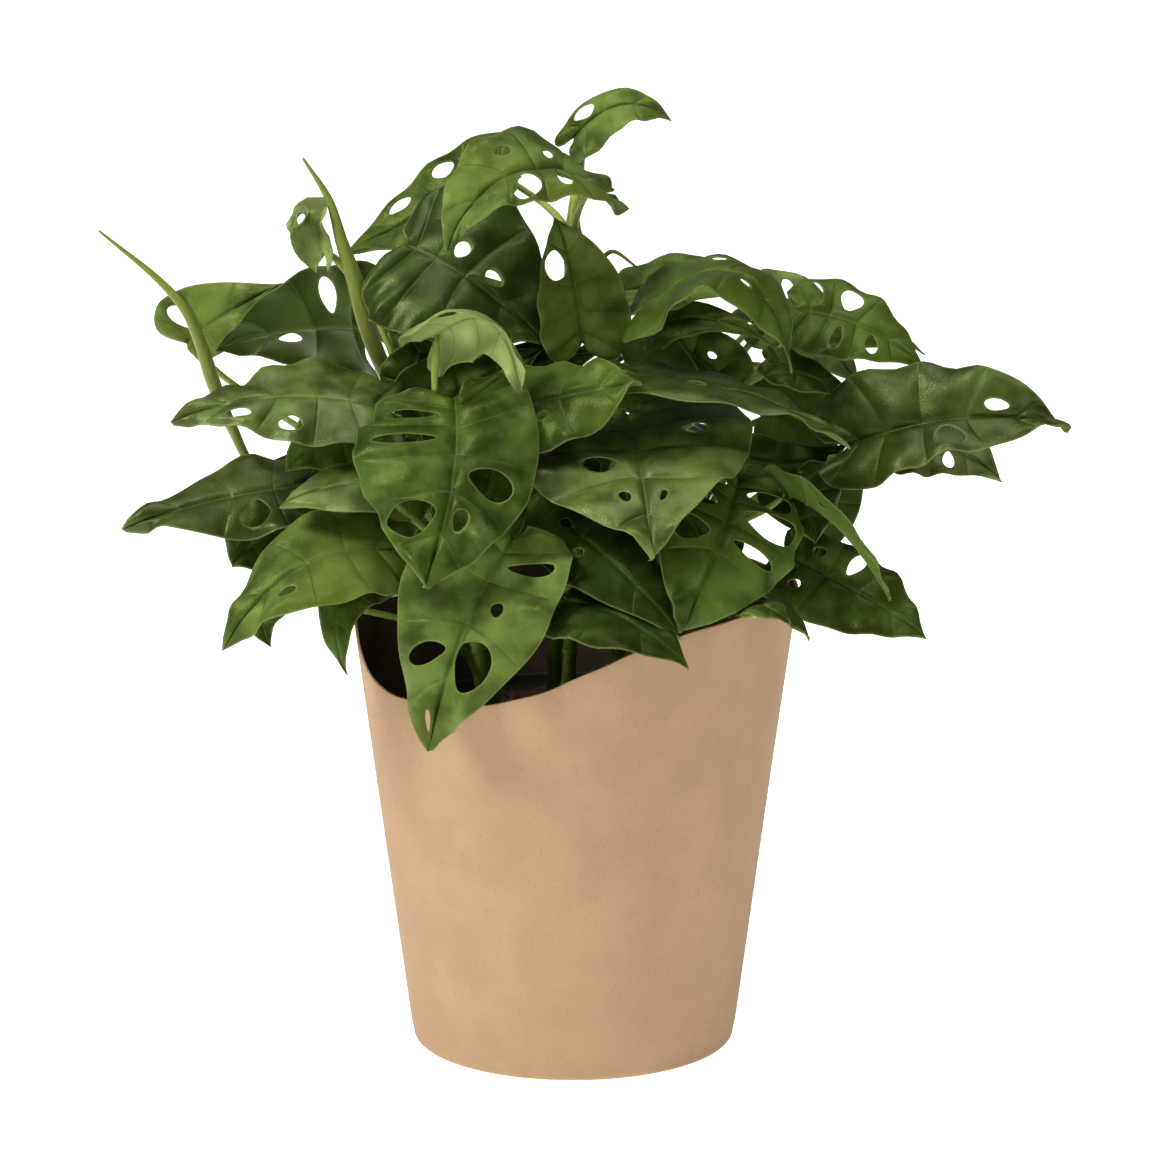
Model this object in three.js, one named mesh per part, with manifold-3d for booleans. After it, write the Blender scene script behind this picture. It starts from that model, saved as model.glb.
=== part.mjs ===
// A holey-leaved monstera (Monstera adansonii) in its black nursery pot, inside a kraft-paper sleeve.
// Millimetres, +Z up. The origin is the centre of the sleeve's underside; -Y is the front.
import * as THREE from "three";
import { mergeVertices } from "three/addons/utils/BufferGeometryUtils.js";
import Module from "manifold-3d";

const wasm = await Module();
wasm.setup();

// ---------------------------------------------------------------- driving dimensions
const GAP = 0.3; // clear space between pieces that touch

// Paper sleeve: a flared round wall with a waved rim and a closed floor.
const SLEEVE_FOOT_RADIUS = 51.9;
const SLEEVE_FLARE = 0.131; // radius gained per millimetre of height
const SLEEVE_WALL = 1.0;
const SLEEVE_FLOOR = 1.2;
const RIM_HEIGHT = 148.5;
const RIM_DIP = 27; // how far the rim drops at its lowest place
const RIM_DIP_AT = -139; // degrees round from +X, so at the front left
const RIM_DIP_LEFT = 42; // degrees over which the dip fades, to its left and to its right
const RIM_DIP_RIGHT = 59;
const SLEEVE_SIDES = 48;

// Nursery pot and the soil in it.
const POT_FOOT_RADIUS = 45;
const POT_SHOULDER_RADIUS = 57.5;
const POT_RIM_RADIUS = 63;
const POT_RIM_DROP = 9;
const POT_WALL = 1.0;
const POT_TOP = 106;
const POT_SIDES = 24;
const DRAIN_RADIUS = 4;
const DRAIN_CIRCLE = 28;
const DRAIN_COUNT = 4;
const SOIL_TOP = 103;
const SOIL_CROWN_RADIUS = 36; // the level middle of the soil's top
const SOIL_ROUGHNESS = 1.2;

// Stems, leaf stalks and blades.
const STEM_RADIUS = 2.6;
const STEM_TIP_RADIUS = 1.9;
const STEM_SIDES = 6;
const STEM_STEPS = 4;
const STEM_DEPTH = 16; // length of stem below the soil's surface
const SOIL_HOLE_SIDES = 8;
const STALK_RADIUS = 1.1;
const STALK_SIDES = 5;
const STALK_STEP = 22; // millimetres between the rings of a stalk
const STALK_FLARE = 1.25; // a stalk's radius where it leaves the stem, over its radius at the blade
const STALK_SETS_OUT = 0.35; // shares of a stalk's length over which it sets out and arrives
const STALK_ARRIVES = 0.3;
const NODE_DROP = 12; // a stalk leaves its stem this far below its blade,
const NODE_SLOPE = 0.35; // and this much lower again for each millimetre it reaches aside
const LOWEST_NODE = 0.25; // share of the stem's length under which no stalk leaves it
const HIGHEST_NODE = 0.98;
const NODE_STEP = 0.0124;
const ROLLED_SIDES = 6;
const ROLLED_STEPS = 11;
const ROLLED_TIP_RADIUS = 0.4;
const ROLLED_SWELL_FROM = 0.4; // share of the way along a rolled leaf from which it grows thicker
const ROLLED_SWELL_AT = 0.65; // and the share at which it is thickest
const BLADE = 0.8; // blade thickness
const VEIN_POWER = 1.6; // how far the side veins' roots lag behind their ends on the margin
const VEIN_SWEEP = 1.4; // how much the side veins bend forward

// Half outline of a blade as a Bezier polygon: x in blade lengths from the stalk, y in half widths.
const OUTLINE = [[-0.07, 0.15], [-0.27, 0.95], [0.1, 1.5], [0.62, 1.15], [0.86, 0.12], [1, 0]];
const BELLY = [[0, 0], [0, 0], [0, -0.1], [0.08, 0.22], [0.03, 0.14], [0, 0]]; // what a full blade adds to it

// Holes between two side veins, in shares of the field: middle and radius across it, radius along it.
const HOLES = {
  O: { middle: 0.5, across: 0.28, along: 0.32 },
  L: { middle: 0.54, across: 0.35, along: 0.44 },
  B: { middle: 0.42, across: 0.34, along: 0.42 },
  n: { middle: 0.5, across: 0.3, along: 0.18 },
  o: { middle: 0.34, across: 0.14, along: 0.25 },
  c: { middle: 0.66, across: 0.15, along: 0.25 },
  s: { middle: 0.5, across: 0.1, along: 0.18 },
  q: { middle: 0.32, across: 0.08, along: 0.15 },
  m: { middle: 0.2, across: 0.09, along: 0.22 },
};

// ---------------------------------------------------------------- small helpers
const vec = (p) => new THREE.Vector3(...p);
const radians = THREE.MathUtils.degToRad;
const mix = THREE.MathUtils.lerp;

function material(color, roughness) {
  return new THREE.MeshStandardMaterial({ color, roughness, metalness: 0 });
}

// Point of a Bezier polygon of any order at share u, by repeated halving between its corners.
function bezier(corners, u) {
  let row = corners;
  while (row.length > 1) {
    row = row.slice(1).map((next, i) => next.map((v, k) => mix(row[i][k], v, u)));
  }
  return row[0];
}

function geometryOf(points, triangles) {
  const geometry = new THREE.BufferGeometry();
  geometry.setAttribute("position", new THREE.Float32BufferAttribute(points.flatMap((p) => [...p]), 3));
  geometry.setIndex(triangles.flat());
  return geometry;
}

function signedVolume(points, triangles) {
  return triangles.reduce((sum, [a, b, c]) => {
    const [p, q, r] = [points[a], points[b], points[c]];
    return sum + p.dot(new THREE.Vector3().crossVectors(q, r)) / 6;
  }, 0);
}

// A closed geometry with its faces pointing out.
function closed(points, triangles) {
  const inward = signedVolume(points, triangles) < 0;
  return geometryOf(points, inward ? triangles.map(([a, b, c]) => [a, c, b]) : triangles);
}

function solid(geometry) {
  const plain = geometry.clone();
  plain.deleteAttribute("normal");
  plain.deleteAttribute("uv");
  const merged = mergeVertices(plain, 1e-4);
  return new wasm.Manifold(new wasm.Mesh({
    numProp: 3,
    vertProperties: merged.attributes.position.array,
    triVerts: new Uint32Array(merged.index.array),
  }));
}

function geometryFrom(body) {
  const mesh = body.getMesh();
  const geometry = new THREE.BufferGeometry();
  geometry.setAttribute("position", new THREE.BufferAttribute(mesh.vertProperties, 3));
  geometry.setIndex(new THREE.BufferAttribute(mesh.triVerts, 1));
  return geometry;
}

// A closed round bar along a curve, its radius a function of the share of the way.
function taperedBar(curve, radiusAt, sides, steps) {
  const frames = curve.computeFrenetFrames(steps, false);
  const points = [];
  const triangles = [];
  for (let i = 0; i <= steps; i++) {
    const middle = curve.getPointAt(i / steps);
    for (let k = 0; k < sides; k++) {
      const angle = (2 * Math.PI * k) / sides;
      points.push(middle.clone()
        .addScaledVector(frames.normals[i], radiusAt(i / steps) * Math.cos(angle))
        .addScaledVector(frames.binormals[i], radiusAt(i / steps) * Math.sin(angle)));
    }
  }
  for (let i = 0; i < steps; i++) {
    for (let k = 0; k < sides; k++) {
      const [a, b] = [i * sides + k, i * sides + ((k + 1) % sides)];
      triangles.push([a, b, b + sides], [a, b + sides, a + sides]);
    }
  }
  const last = steps * sides;
  for (let k = 1; k < sides - 1; k++) {
    triangles.push([0, k + 1, k], [last, last + k, last + k + 1]);
  }
  return closed(points, triangles);
}

// ---------------------------------------------------------------- sleeve
function rimHeight(degrees) {
  const off = ((degrees - RIM_DIP_AT + 540) % 360) - 180;
  const reach = off < 0 ? RIM_DIP_LEFT : RIM_DIP_RIGHT;
  return RIM_HEIGHT - RIM_DIP * Math.exp(-Math.pow(Math.abs(off) / reach, 3));
}

const sleeveRadius = (z) => SLEEVE_FOOT_RADIUS + SLEEVE_FLARE * z;

// One closed grid of rings: underside, outer wall up to the rim, inner wall down, floor.
function sleeveGeometry() {
  const points = [new THREE.Vector3(0, 0, 0)];
  const rings = [
    () => [sleeveRadius(0), 0],
    (a) => [sleeveRadius(rimHeight(a)), rimHeight(a)],
    (a) => [sleeveRadius(rimHeight(a)) - SLEEVE_WALL, rimHeight(a)],
    () => [sleeveRadius(SLEEVE_FLOOR) - SLEEVE_WALL, SLEEVE_FLOOR],
  ];
  for (const ring of rings) {
    for (let k = 0; k < SLEEVE_SIDES; k++) {
      const degrees = (360 * k) / SLEEVE_SIDES;
      const [radius, z] = ring(degrees);
      points.push(new THREE.Vector3(radius * Math.cos(radians(degrees)), radius * Math.sin(radians(degrees)), z));
    }
  }
  const middle = points.push(new THREE.Vector3(0, 0, SLEEVE_FLOOR)) - 1;
  const at = (ring, k) => 1 + ring * SLEEVE_SIDES + (k % SLEEVE_SIDES);
  const triangles = [];
  for (let k = 0; k < SLEEVE_SIDES; k++) {
    triangles.push([0, at(0, k + 1), at(0, k)], [middle, at(3, k), at(3, k + 1)]);
    for (let ring = 0; ring < 3; ring++) {
      triangles.push([at(ring, k), at(ring, k + 1), at(ring + 1, k + 1)]);
      triangles.push([at(ring, k), at(ring + 1, k + 1), at(ring + 1, k)]);
    }
  }
  return closed(points, triangles);
}

// ---------------------------------------------------------------- nursery pot and soil
// A turned solid about the Z axis from a profile of [radius, height] pairs that starts and ends on the axis.
function turned(profile, sides) {
  const geometry = new THREE.LatheGeometry(profile.map(([r, z]) => new THREE.Vector2(r, z)), sides);
  geometry.rotateX(Math.PI / 2);
  return solid(geometry);
}

function uprightBar(x, y, bottom, top, radius, sides) {
  const geometry = new THREE.CylinderGeometry(radius, radius, top - bottom, sides);
  geometry.rotateX(Math.PI / 2);
  geometry.translate(x, y, (top + bottom) / 2);
  return solid(geometry);
}

const POT_FOOT = SLEEVE_FLOOR + GAP;
const POT_FLOOR = POT_FOOT + 1.5;
const SHOULDER = POT_TOP - POT_RIM_DROP;

function potGeometry() {
  let pot = turned([
    [0, POT_FOOT], [POT_FOOT_RADIUS, POT_FOOT], [POT_SHOULDER_RADIUS, SHOULDER],
    [POT_RIM_RADIUS, SHOULDER + 1], [POT_RIM_RADIUS, POT_TOP], [POT_RIM_RADIUS - POT_WALL, POT_TOP],
    [POT_RIM_RADIUS - POT_WALL, SHOULDER + 2], [POT_SHOULDER_RADIUS - POT_WALL, SHOULDER + 1],
    [POT_FOOT_RADIUS - POT_WALL, POT_FLOOR], [0, POT_FLOOR],
  ], POT_SIDES);
  for (let i = 0; i < DRAIN_COUNT; i++) {
    const angle = (2 * Math.PI * i) / DRAIN_COUNT;
    const [x, y] = [DRAIN_CIRCLE * Math.cos(angle), DRAIN_CIRCLE * Math.sin(angle)];
    pot = pot.subtract(uprightBar(x, y, POT_FOOT - 1, POT_FLOOR + 1, DRAIN_RADIUS, 8));
  }
  return geometryFrom(pot);
}

// Soil fills the pot to just under its rim. Its top is lumpy, and each stem stands in a plain hole.
function soilGeometry(vines) {
  const bottom = POT_FLOOR + GAP;
  const top = turned([
    [0, bottom], [POT_FOOT_RADIUS - POT_WALL - GAP, bottom], [POT_SHOULDER_RADIUS - POT_WALL - GAP, SHOULDER],
    [POT_SHOULDER_RADIUS - POT_WALL - GAP, SHOULDER + 3], [POT_SHOULDER_RADIUS, SOIL_TOP - 1.5],
    [SOIL_CROWN_RADIUS, SOIL_TOP], [0, SOIL_TOP],
  ], POT_SIDES);
  let soil = top.warp((p) => {
    if (p[2] > SHOULDER + 1) {
      p[2] += SOIL_ROUGHNESS * Math.sin(0.31 * p[0] + 1) * Math.cos(0.27 * p[1]);
    }
  });
  const holeRadius = (STEM_RADIUS + GAP) / Math.cos(Math.PI / SOIL_HOLE_SIDES);
  for (const vine of vines) {
    const [x, y] = vine.foot;
    const bottomOfHole = SOIL_TOP - STEM_DEPTH - GAP;
    soil = soil.subtract(uprightBar(x, y, bottomOfHole, SOIL_TOP + 10, holeRadius, SOIL_HOLE_SIDES));
  }
  return geometryFrom(soil);
}

// ---------------------------------------------------------------- blades
// Each blade: [name, vine, base, middle, tip, half width, direction its upper side faces, form].
// form: fold and curl in degrees for its left and right halves, wave height and count, how full the blade
// is towards its tip, the share of the half width that each half has, the way the upper side faces at the
// tip where the blade twists, how far the tip hooks away, rows of fields, holes of the left / right half
// from the base on, the stalk's radius where it isn't the usual one, and how far the stalk bows aside.
const LEAVES = [
  ["light_heart", "left", [-124.1, 26, 222.4], [-113.6, 25, 230.7], [-93.1, 23, 242.6], 15, [-0.2, -0.9, 0.3],
    { fold: [10, 10], width: [0.7, 1], holes: "----/-O--", rows: 4, bow: [-10, 0, -4] }],
  ["dark_underside", "left", [-57, 12, 229], [-86, 16, 229], [-115, 16, 222], 25, [0, 0.75, 0.65],
    { curl: [0, 25], width: [1, 0.97], holes: "-L-o-/--n--", rows: 5 }],
  ["new_leaf", "left", [-78.2, -6, 256], [-83.6, -6, 268.5], [-87.9, -8, 262.2], 8.5, [-0.5, -0.3, 0.8],
    { curl: [70, 95], wave: 2, holes: "---/---", rows: 3, bow: [0, -22, 0] }],
  ["behind_crown", "centre", [-21.7, 22, 278.5], [-45.7, 24, 265.5], [-74, 20, 251.3], 16.5, [0, -0.6, 0.8],
    { fold: [10, 10], holes: "--cc/----", rows: 5 }],
  ["bluish_top", "centre", [-52, -4, 258], [-31, -14, 248], [-8, -18, 228], 27, [0.2, -0.8, 0.55],
    { fold: [5, 10], curl: [-30, -15], wave: 1.5, belly: 0.4, width: [1, 1.15],
      holes: "-----/--mm-", rows: 5 }],
  ["crown_bright", "centre", [6.8, -13, 276.8], [-19.3, -27, 282.4], [-39.1, -37, 260], 22, [0.15, -0.45, 0.85],
    { fold: [0, 30], curl: [-20, -30], wave: 2, belly: 0.8, width: [0.85, 0.62], turn: [0, -1,
      0.4], holes: "--qs--/--nLs-", rows: 6 }],
  ["topmost", "centre", [0.2, 17, 289.5], [15.1, 15, 300.5], [31.1, 12, 298.9], 12, [-0.1, -0.8, 0.6],
    { fold: [10, 20], curl: [10, -20], belly: 0.5, width: [0.9, 0.5], hook: [0, 0, -3.5],
      holes: "----/-O--", rows: 4, stalk: 1.7 }],
  ["upright_centre", "centre", [2.8, -15, 228.9], [-0, -15, 249.6], [-5.9, -10, 267.8], 14, [0.15, -1, 0.1],
    { fold: [20, 20], belly: 0.2, width: [1.08, 1], holes: "-----/---L-", rows: 5 }],
  ["arch_right", "centre", [23.2, -20, 241.3], [50.8, -28, 252], [67.1, -40, 223.1], 16, [0.1, -0.25, 0.95],
    { fold: [10, 10], curl: [-20, -30], wave: 1.5, width: [1.25, 1], holes: "---q-/--s--", rows: 5 }],
  ["behind_arch", "centre", [21, 8, 243], [41, 10, 247], [58, 8, 236], 13, [0, -0.5, 0.85],
    { curl: [-20, -20], holes: "-q--/----", rows: 4 }],
  ["dark_arch", "back", [59, 24, 229.5], [87, 27, 229.5], [113, 23, 219.5], 12, [0, -0.5, 0.85],
    { curl: [-20, -25], wave: 1, holes: "--n--/-----", rows: 5 }],
  ["arch_below", "back", [72, 8, 236], [92, 4, 231], [111, -2, 219], 15, [0, -0.7, 0.7],
    { curl: [-15, -20], holes: "--nn-/-nO--", rows: 5, bow: [0, -12, -4] }],
  ["pale_behind", "back", [62, 36, 232], [78, 40, 224], [93, 42, 206], 15, [0.2, -0.8, 0.5],
    { holes: "-n--/-nn-", rows: 4, bow: [0, -8, 0] }],
  ["dark_middle", "back", [60, 16, 201], [76, 18, 199], [92, 18, 193], 16, [0, -0.8, 0.6],
    { holes: "----/-q--", rows: 4 }],
  ["big_right", "right", [86, -12, 195.5], [121, -20, 206], [155, -24, 204], 21, [-0.1, -0.5, 0.85],
    { fold: [0, 50], curl: [-10, -40], wave: 2, width: [0.85, 1], holes: "---O--/----o-", rows: 6 }],
  ["below_big_right", "right", [101, 2, 194.5], [120, 2, 192.5], [136, -2, 182.5], 14, [0, -0.6, 0.8],
    { fold: [0, 10], holes: "-nn-/-o--", rows: 4 }],
  ["long_edge", "centre", [15, -30, 221], [51, -40, 217], [85, -46, 201], 18, [0.2, -0.15, 1],
    { fold: [15, 15], curl: [-30, -30], width: [1, 0.75], holes: "--q--/-----", rows: 5 }],
  ["dark_round", "right", [69.5, -17.4, 187.6], [73.1, -21.4, 178.1], [75.6, -24.4, 166.9], 13.5, [0.2, -0.9, 0.3],
    { curl: [-20, -20], holes: "---/---", rows: 4 }],
  ["dark_hanging", "right", [80, 10, 184], [80, 12, 168], [76, 12, 151], 12, [0.1, -1, 0.1],
    { holes: "---/---", rows: 4 }],
  ["thin_arching", "right", [64.6, -29.5, 184.7], [82, -40, 175], [98, -44, 153], 11, [0.5, 0.2, 0.8],
    { fold: [25, 25], holes: "--q--/-----", rows: 5 }],
  ["lower_right", "right", [68.5, -23, 162], [91, -33, 152], [110, -38, 139.5], 16.5, [0.1, -0.7, 0.7],
    { curl: [-20, -20], belly: 0.15, holes: "-s---/-on--", rows: 5 }],
  ["over_right_rim", "right", [45, -38, 158.5], [60, -44, 155.5], [73, -47, 141], 13, [0.3, -0.3, 0.9],
    { curl: [-20, -20], holes: "--s-/----", rows: 4 }],
  ["front_right_holed", "right", [50.9, -37.5, 189.4], [43.6, -58, 172.4], [32.7, -71, 148.4], 23, [0.25, -0.85, 0.45],
    { fold: [10, 10], curl: [-15, -25], wave: 1.5, belly: 0.9, width: [0.9, 1],
      holes: "-oOO--/-LLn--", rows: 6 }],
  ["front_centre_large", "front", [17.1, -22, 207.7], [21, -54, 194], [24, -80, 173], 38, [0, -0.55, 0.83],
    { fold: [8, 8], curl: [-20, -20], wave: 2, belly: -0.4, width: [1.12, 0.95],
      holes: "---oq-/--s-q-", rows: 6 }],
  ["front_left_bright", "front_left", [-36, -46, 216], [-36.5, -66, 192.8], [-45, -77, 164], 29, [-0.1, -0.9, 0.4],
    { fold: [8, 8], curl: [-25, -25], wave: 2.5, belly: 1.2, width: [1.02, 0.8],
      holes: "-nn-L-/---Oo-", rows: 6 }],
  ["front_bottom", "front", [-18.6, -57, 174.7], [-33.6, -70, 147.6], [-44.1, -72, 111.9], 23, [-0.3, -0.85, 0.3],
    { fold: [10, 10], curl: [-10, -20], wave: 2.5, belly: 0.7, holes: "-q-ns/-nqB-", rows: 5 }],
  ["left_middle", "front_left", [-58, -26, 210], [-90, -32, 214.5], [-124, -36, 207.5], 21, [0, -0.5, 0.85],
    { fold: [-15, 0], curl: [10, -20], wave: 2, belly: 0.6, width: [1, 0.85],
      holes: "------/---cc-", rows: 6 }],
  ["dark_behind_left", "left", [-63, -8, 199], [-78, -10, 197], [-91, -12, 187], 14, [-0.1, -0.8, 0.55],
    { holes: "-s--/----", rows: 4 }],
  ["left_low", "left", [-80, -10, 183], [-111, -14, 179], [-142, -16, 170], 16, [0, -0.55, 0.83],
    { fold: [5, 5], curl: [-20, -30], wave: 2.5, belly: 0.2, holes: "-----/-cO--", rows: 5 }],
  ["big_dark_left", "left", [-74, 6, 174], [-98, 4, 164], [-109, 2, 154], 22, [-0.15, -0.9, 0.4],
    { curl: [-20, -20], holes: "---/---", rows: 4 }],
  ["light_small_left", "front_left", [-57, -42, 190], [-74, -46, 189], [-90, -48, 183], 12, [0, -0.5, 0.85],
    { curl: [-20, -20], holes: "---/---", rows: 3 }],
  ["lower_left", "front_left", [-56, -46, 169], [-84, -56, 165], [-107, -62, 141], 18, [-0.25, -0.65, 0.7],
    { fold: [5, 10], curl: [-20, -25], wave: 1.5, belly: 0.3, holes: "-----/---s-", rows: 5 }],
  ["hanging_left", "front_left", [-60, -44, 163], [-72, -54, 153], [-69, -60, 133], 10, [-0.5, -0.85, 0.2],
    { curl: [-20, -20], holes: "---/---", rows: 4 }],
  ["small_dark_tip", "left", [-90, -18, 152.5], [-97.4, -22, 144.3], [-94.8, -26, 134], 8, [-0.3, -0.8, 0.5],
    { holes: "---/---", rows: 3 }],
  ["grey_inside_left", "front_left", [-50, -20, 160], [-56, -22, 156], [-61, -22, 149], 11, [-0.2, -0.7, 0.7],
    { holes: "---/-o-", rows: 3 }],
  ["wide_centre", "front_left", [-26.4, -40, 209.5], [-1, -49, 218], [21, -53, 222], 17, [0.1, -0.7, 0.7],
    { curl: [-20, -20], wave: 2.5, belly: 0.5, holes: "--q--/-----", rows: 5, bow: [-6, 2, 2] }],
  ["curled_pale", "front_left", [-42, -38, 234.6], [-25.1, -52, 241], [-16, -58, 219.9], 14, [0.3, 0.7, 0.65],
    { fold: [-10, -10], curl: [-60, -80], wave: 1.5, belly: 0.5, holes: "-o-/---", rows: 4 }],
  ["grey_inside", "right", [16, -2, 221], [30, -4, 214], [44, -4, 202], 14, [0, -0.9, 0.4],
    { holes: "---/---", rows: 3 }],
  ["right_back", "back", [48.8, 8, 211.7], [38, 8, 221.3], [27.8, 8, 227.1], 12, [0, -1, 0.2],
    { holes: "-q-/---", rows: 3 }],
  ["over_front_rim", "front", [-2.1, -60, 156.3], [16, -72, 153], [35, -78, 139], 16, [0.15, -0.5, 0.85],
    { curl: [-15, -15], holes: "---/---", rows: 4 }],
  ["dark_light_margin", "front", [0, -50, 176], [15, -63, 166], [33, -73, 147], 15, [0.1, -0.7, 0.7],
    { curl: [-20, -20], holes: "-q--/----", rows: 4 }],
  ["dark_centre", "centre", [-12, -15, 186], [2, -21, 176], [17, -27, 157], 21, [0, -0.85, 0.5],
    { curl: [-15, -15], holes: "--q-/-q--", rows: 4 }],
  ["narrow_over_rim", "right", [54, -61, 155], [60, -66, 155], [66, -68, 150.5], 7, [0.1, -0.3, 0.95],
    { holes: "---/---", rows: 3, bow: [5, 0, 8] }],
  ["rear_high_left", "back", [-28, 36, 231], [-46, 58, 226], [-58, 76, 203], 21, [-0.4, 0.6, 0.7],
    { curl: [-20, -20], wave: 1.5, holes: "-O-/-oO", rows: 4 }],
  ["rear_high", "back", [6, 40, 236], [10, 64, 235], [13, 88, 214], 23, [0, 0.5, 0.85],
    { curl: [-25, -25], wave: 1.5, holes: "-OO/-O-", rows: 4 }],
  ["rear_high_right", "back", [42, 56, 209], [61, 72, 205], [74, 88, 182], 21, [0.4, 0.6, 0.7],
    { curl: [-20, -20], wave: 1.5, holes: "-O-/-OO", rows: 4 }],
  ["rear_left", "left", [-46, 40, 196], [-62, 61, 188], [-72, 76, 163], 22, [-0.5, 0.7, 0.5],
    { curl: [-20, -20], wave: 1.5, holes: "-OO/---", rows: 4 }],
  ["rear_middle", "back", [-8, 52, 199], [-11, 80, 193], [-14, 100, 165], 26, [0, 0.8, 0.6],
    { curl: [-25, -25], wave: 1.5, holes: "-OO-/-O--", rows: 5 }],
  ["rear_right", "back", [30, 54, 191], [40, 80, 183], [45, 96, 156], 22, [0.3, 0.8, 0.45],
    { curl: [-20, -20], wave: 1.5, holes: "-oO/-O-", rows: 4 }],
  ["rear_low_left", "back", [-34, 54, 166], [-48, 73, 160], [-58, 84, 137], 17, [-0.4, 0.8, 0.4],
    { curl: [-20, -20], holes: "-O-/-o-", rows: 4 }],
  ["rear_low", "back", [10, 60, 167], [15, 84, 161], [20, 98, 134], 19, [0.1, 0.9, 0.4],
    { curl: [-20, -20], holes: "-O-/-O-", rows: 4 }],
].map(([name, vine, base, middle, tip, halfWidth, face, form]) => ({
  name, vine, base: vec(base), middle: vec(middle), tip: vec(tip), halfWidth, face: vec(face),
  fold: [0, 0], curl: [0, 0], wave: 0, waves: 2.5, belly: 0, width: [1, 1], turn: face, hook: [0, 0, 0],
  stalk: STALK_RADIUS, bow: [0, 0, 0], ...form,
}));

// The midrib is a quadratic Bezier curve through base, middle and tip, plus the hook by the cube of x.
function midrib(leaf, x) {
  const hook = vec(leaf.hook);
  const pull = leaf.middle.clone().multiplyScalar(2)
    .addScaledVector(leaf.base, -0.5).addScaledVector(leaf.tip, -0.5);
  const along = leaf.base.clone().multiplyScalar((1 - x) ** 2)
    .addScaledVector(pull, 2 * x * (1 - x)).addScaledVector(leaf.tip, x * x).addScaledVector(hook, x ** 3);
  const heading = pull.clone().sub(leaf.base).multiplyScalar(1 - x)
    .addScaledVector(leaf.tip.clone().sub(pull), x).addScaledVector(hook, 1.5 * x * x).normalize();
  const face = leaf.face.clone().lerp(vec(leaf.turn), x);
  const up = face.clone().addScaledVector(heading, -face.dot(heading)).normalize();
  const left = new THREE.Vector3().crossVectors(heading, up);
  return { along, heading, up, left };
}

// A point of the blade's middle surface: u from base to tip, t from midrib to margin, side 0 left or 1 right.
// Across the blade each half is an arc that leaves the midrib at its fold angle and turns by its curl.
function bladePoint(leaf, side, u, t) {
  const full = OUTLINE.map(([x, y], i) => [x + leaf.belly * BELLY[i][0], y + leaf.belly * BELLY[i][1]]);
  const [edgeX, edgeY] = bezier(full, u);
  const rootX = Math.pow(u, VEIN_POWER);
  const x = rootX + (edgeX - rootX) * Math.pow(t, VEIN_SWEEP);
  const reach = edgeY * t;
  const fold = radians(leaf.fold[side]);
  const curl = radians(leaf.curl[side]) || 1e-6;
  const out = (Math.sin(fold + curl * reach) - Math.sin(fold)) / curl;
  const rise = (Math.cos(fold) - Math.cos(fold + curl * reach)) / curl;
  const ripple = leaf.wave * t * t * Math.sin(2 * Math.PI * (leaf.waves * u + 0.37 * side));
  const { along, up, left } = midrib(leaf, x);
  const width = leaf.halfWidth * leaf.width[side];
  return along.addScaledVector(left, (side ? -1 : 1) * width * out)
    .addScaledVector(up, width * rise + ripple);
}

// Middle surface of a blade as triangles. Each half is a row of fields between side veins, and a field is
// a fan round its middle or, where it is holed, a ring round its hole.
function bladeSheet(leaf) {
  const points = [];
  const triangles = [];
  const known = new Map();
  const point = (side, u, t) => {
    const key = t === 0 || u === 1 ? `rib ${u}` : `${side} ${u} ${t}`;
    if (!known.has(key)) {
      known.set(key, points.push(bladePoint(leaf, side, u, t)) - 1);
    }
    return known.get(key);
  };
  const holes = leaf.holes.split("/");
  for (const side of [0, 1]) {
    const add = (a, b, c) => triangles.push(side ? [a, c, b] : [a, b, c]);
    for (let row = 0; row < leaf.rows; row++) {
      const at = (p, t) => point(side, (row + p) / leaf.rows, t);
      const last = row === leaf.rows - 1;
      const border = last
        ? [[0, 0], [0.5, 0], [1, 0], [0.5, 1], [0, 1], [0, 0.5]]
        : [[0, 0], [0.5, 0], [1, 0], [1, 0.5], [1, 1], [0.5, 1], [0, 1], [0, 0.5]];
      const hole = HOLES[holes[side][row]];
      border.forEach(([p, t], i) => {
        const [nextP, nextT] = border[(i + 1) % border.length];
        const [a, b] = [at(p, t), at(nextP, nextT)];
        if (!hole) {
          add(a, b, at(0.5, 0.5));
          return;
        }
        const edge = (cornerP, cornerT) => {
          const angle = Math.atan2(cornerT - 0.5, cornerP - 0.5);
          return at(0.5 + hole.along * Math.cos(angle), hole.middle + hole.across * Math.sin(angle));
        };
        const [c, d] = [edge(p, t), edge(nextP, nextT)];
        add(a, b, d);
        add(a, d, c);
      });
    }
  }
  return { points, triangles };
}

// Thickens a sheet to a closed blade: both faces carry the same triangles, and walls close every edge.
function thickened({ points, triangles }, thickness) {
  const normals = points.map(() => new THREE.Vector3());
  const edges = new Map();
  for (const [a, b, c] of triangles) {
    const normal = new THREE.Vector3().crossVectors(
      points[b].clone().sub(points[a]), points[c].clone().sub(points[a]));
    for (const corner of [a, b, c]) {
      normals[corner].add(normal);
    }
    for (const [from, to] of [[a, b], [b, c], [c, a]]) {
      edges.set(`${from} ${to}`, [from, to]);
    }
  }
  const shift = (sign) => points.map((p, i) =>
    p.clone().addScaledVector(normals[i].clone().normalize(), (sign * thickness) / 2));
  const n = points.length;
  const faces = triangles.flatMap(([a, b, c]) => [[a, b, c], [n + a, n + c, n + b]]);
  for (const [from, to] of edges.values()) {
    if (!edges.has(`${to} ${from}`)) {
      faces.push([to, from, n + from], [to, n + from, n + to]);
    }
  }
  return closed([...shift(1), ...shift(-1)], faces);
}

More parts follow.
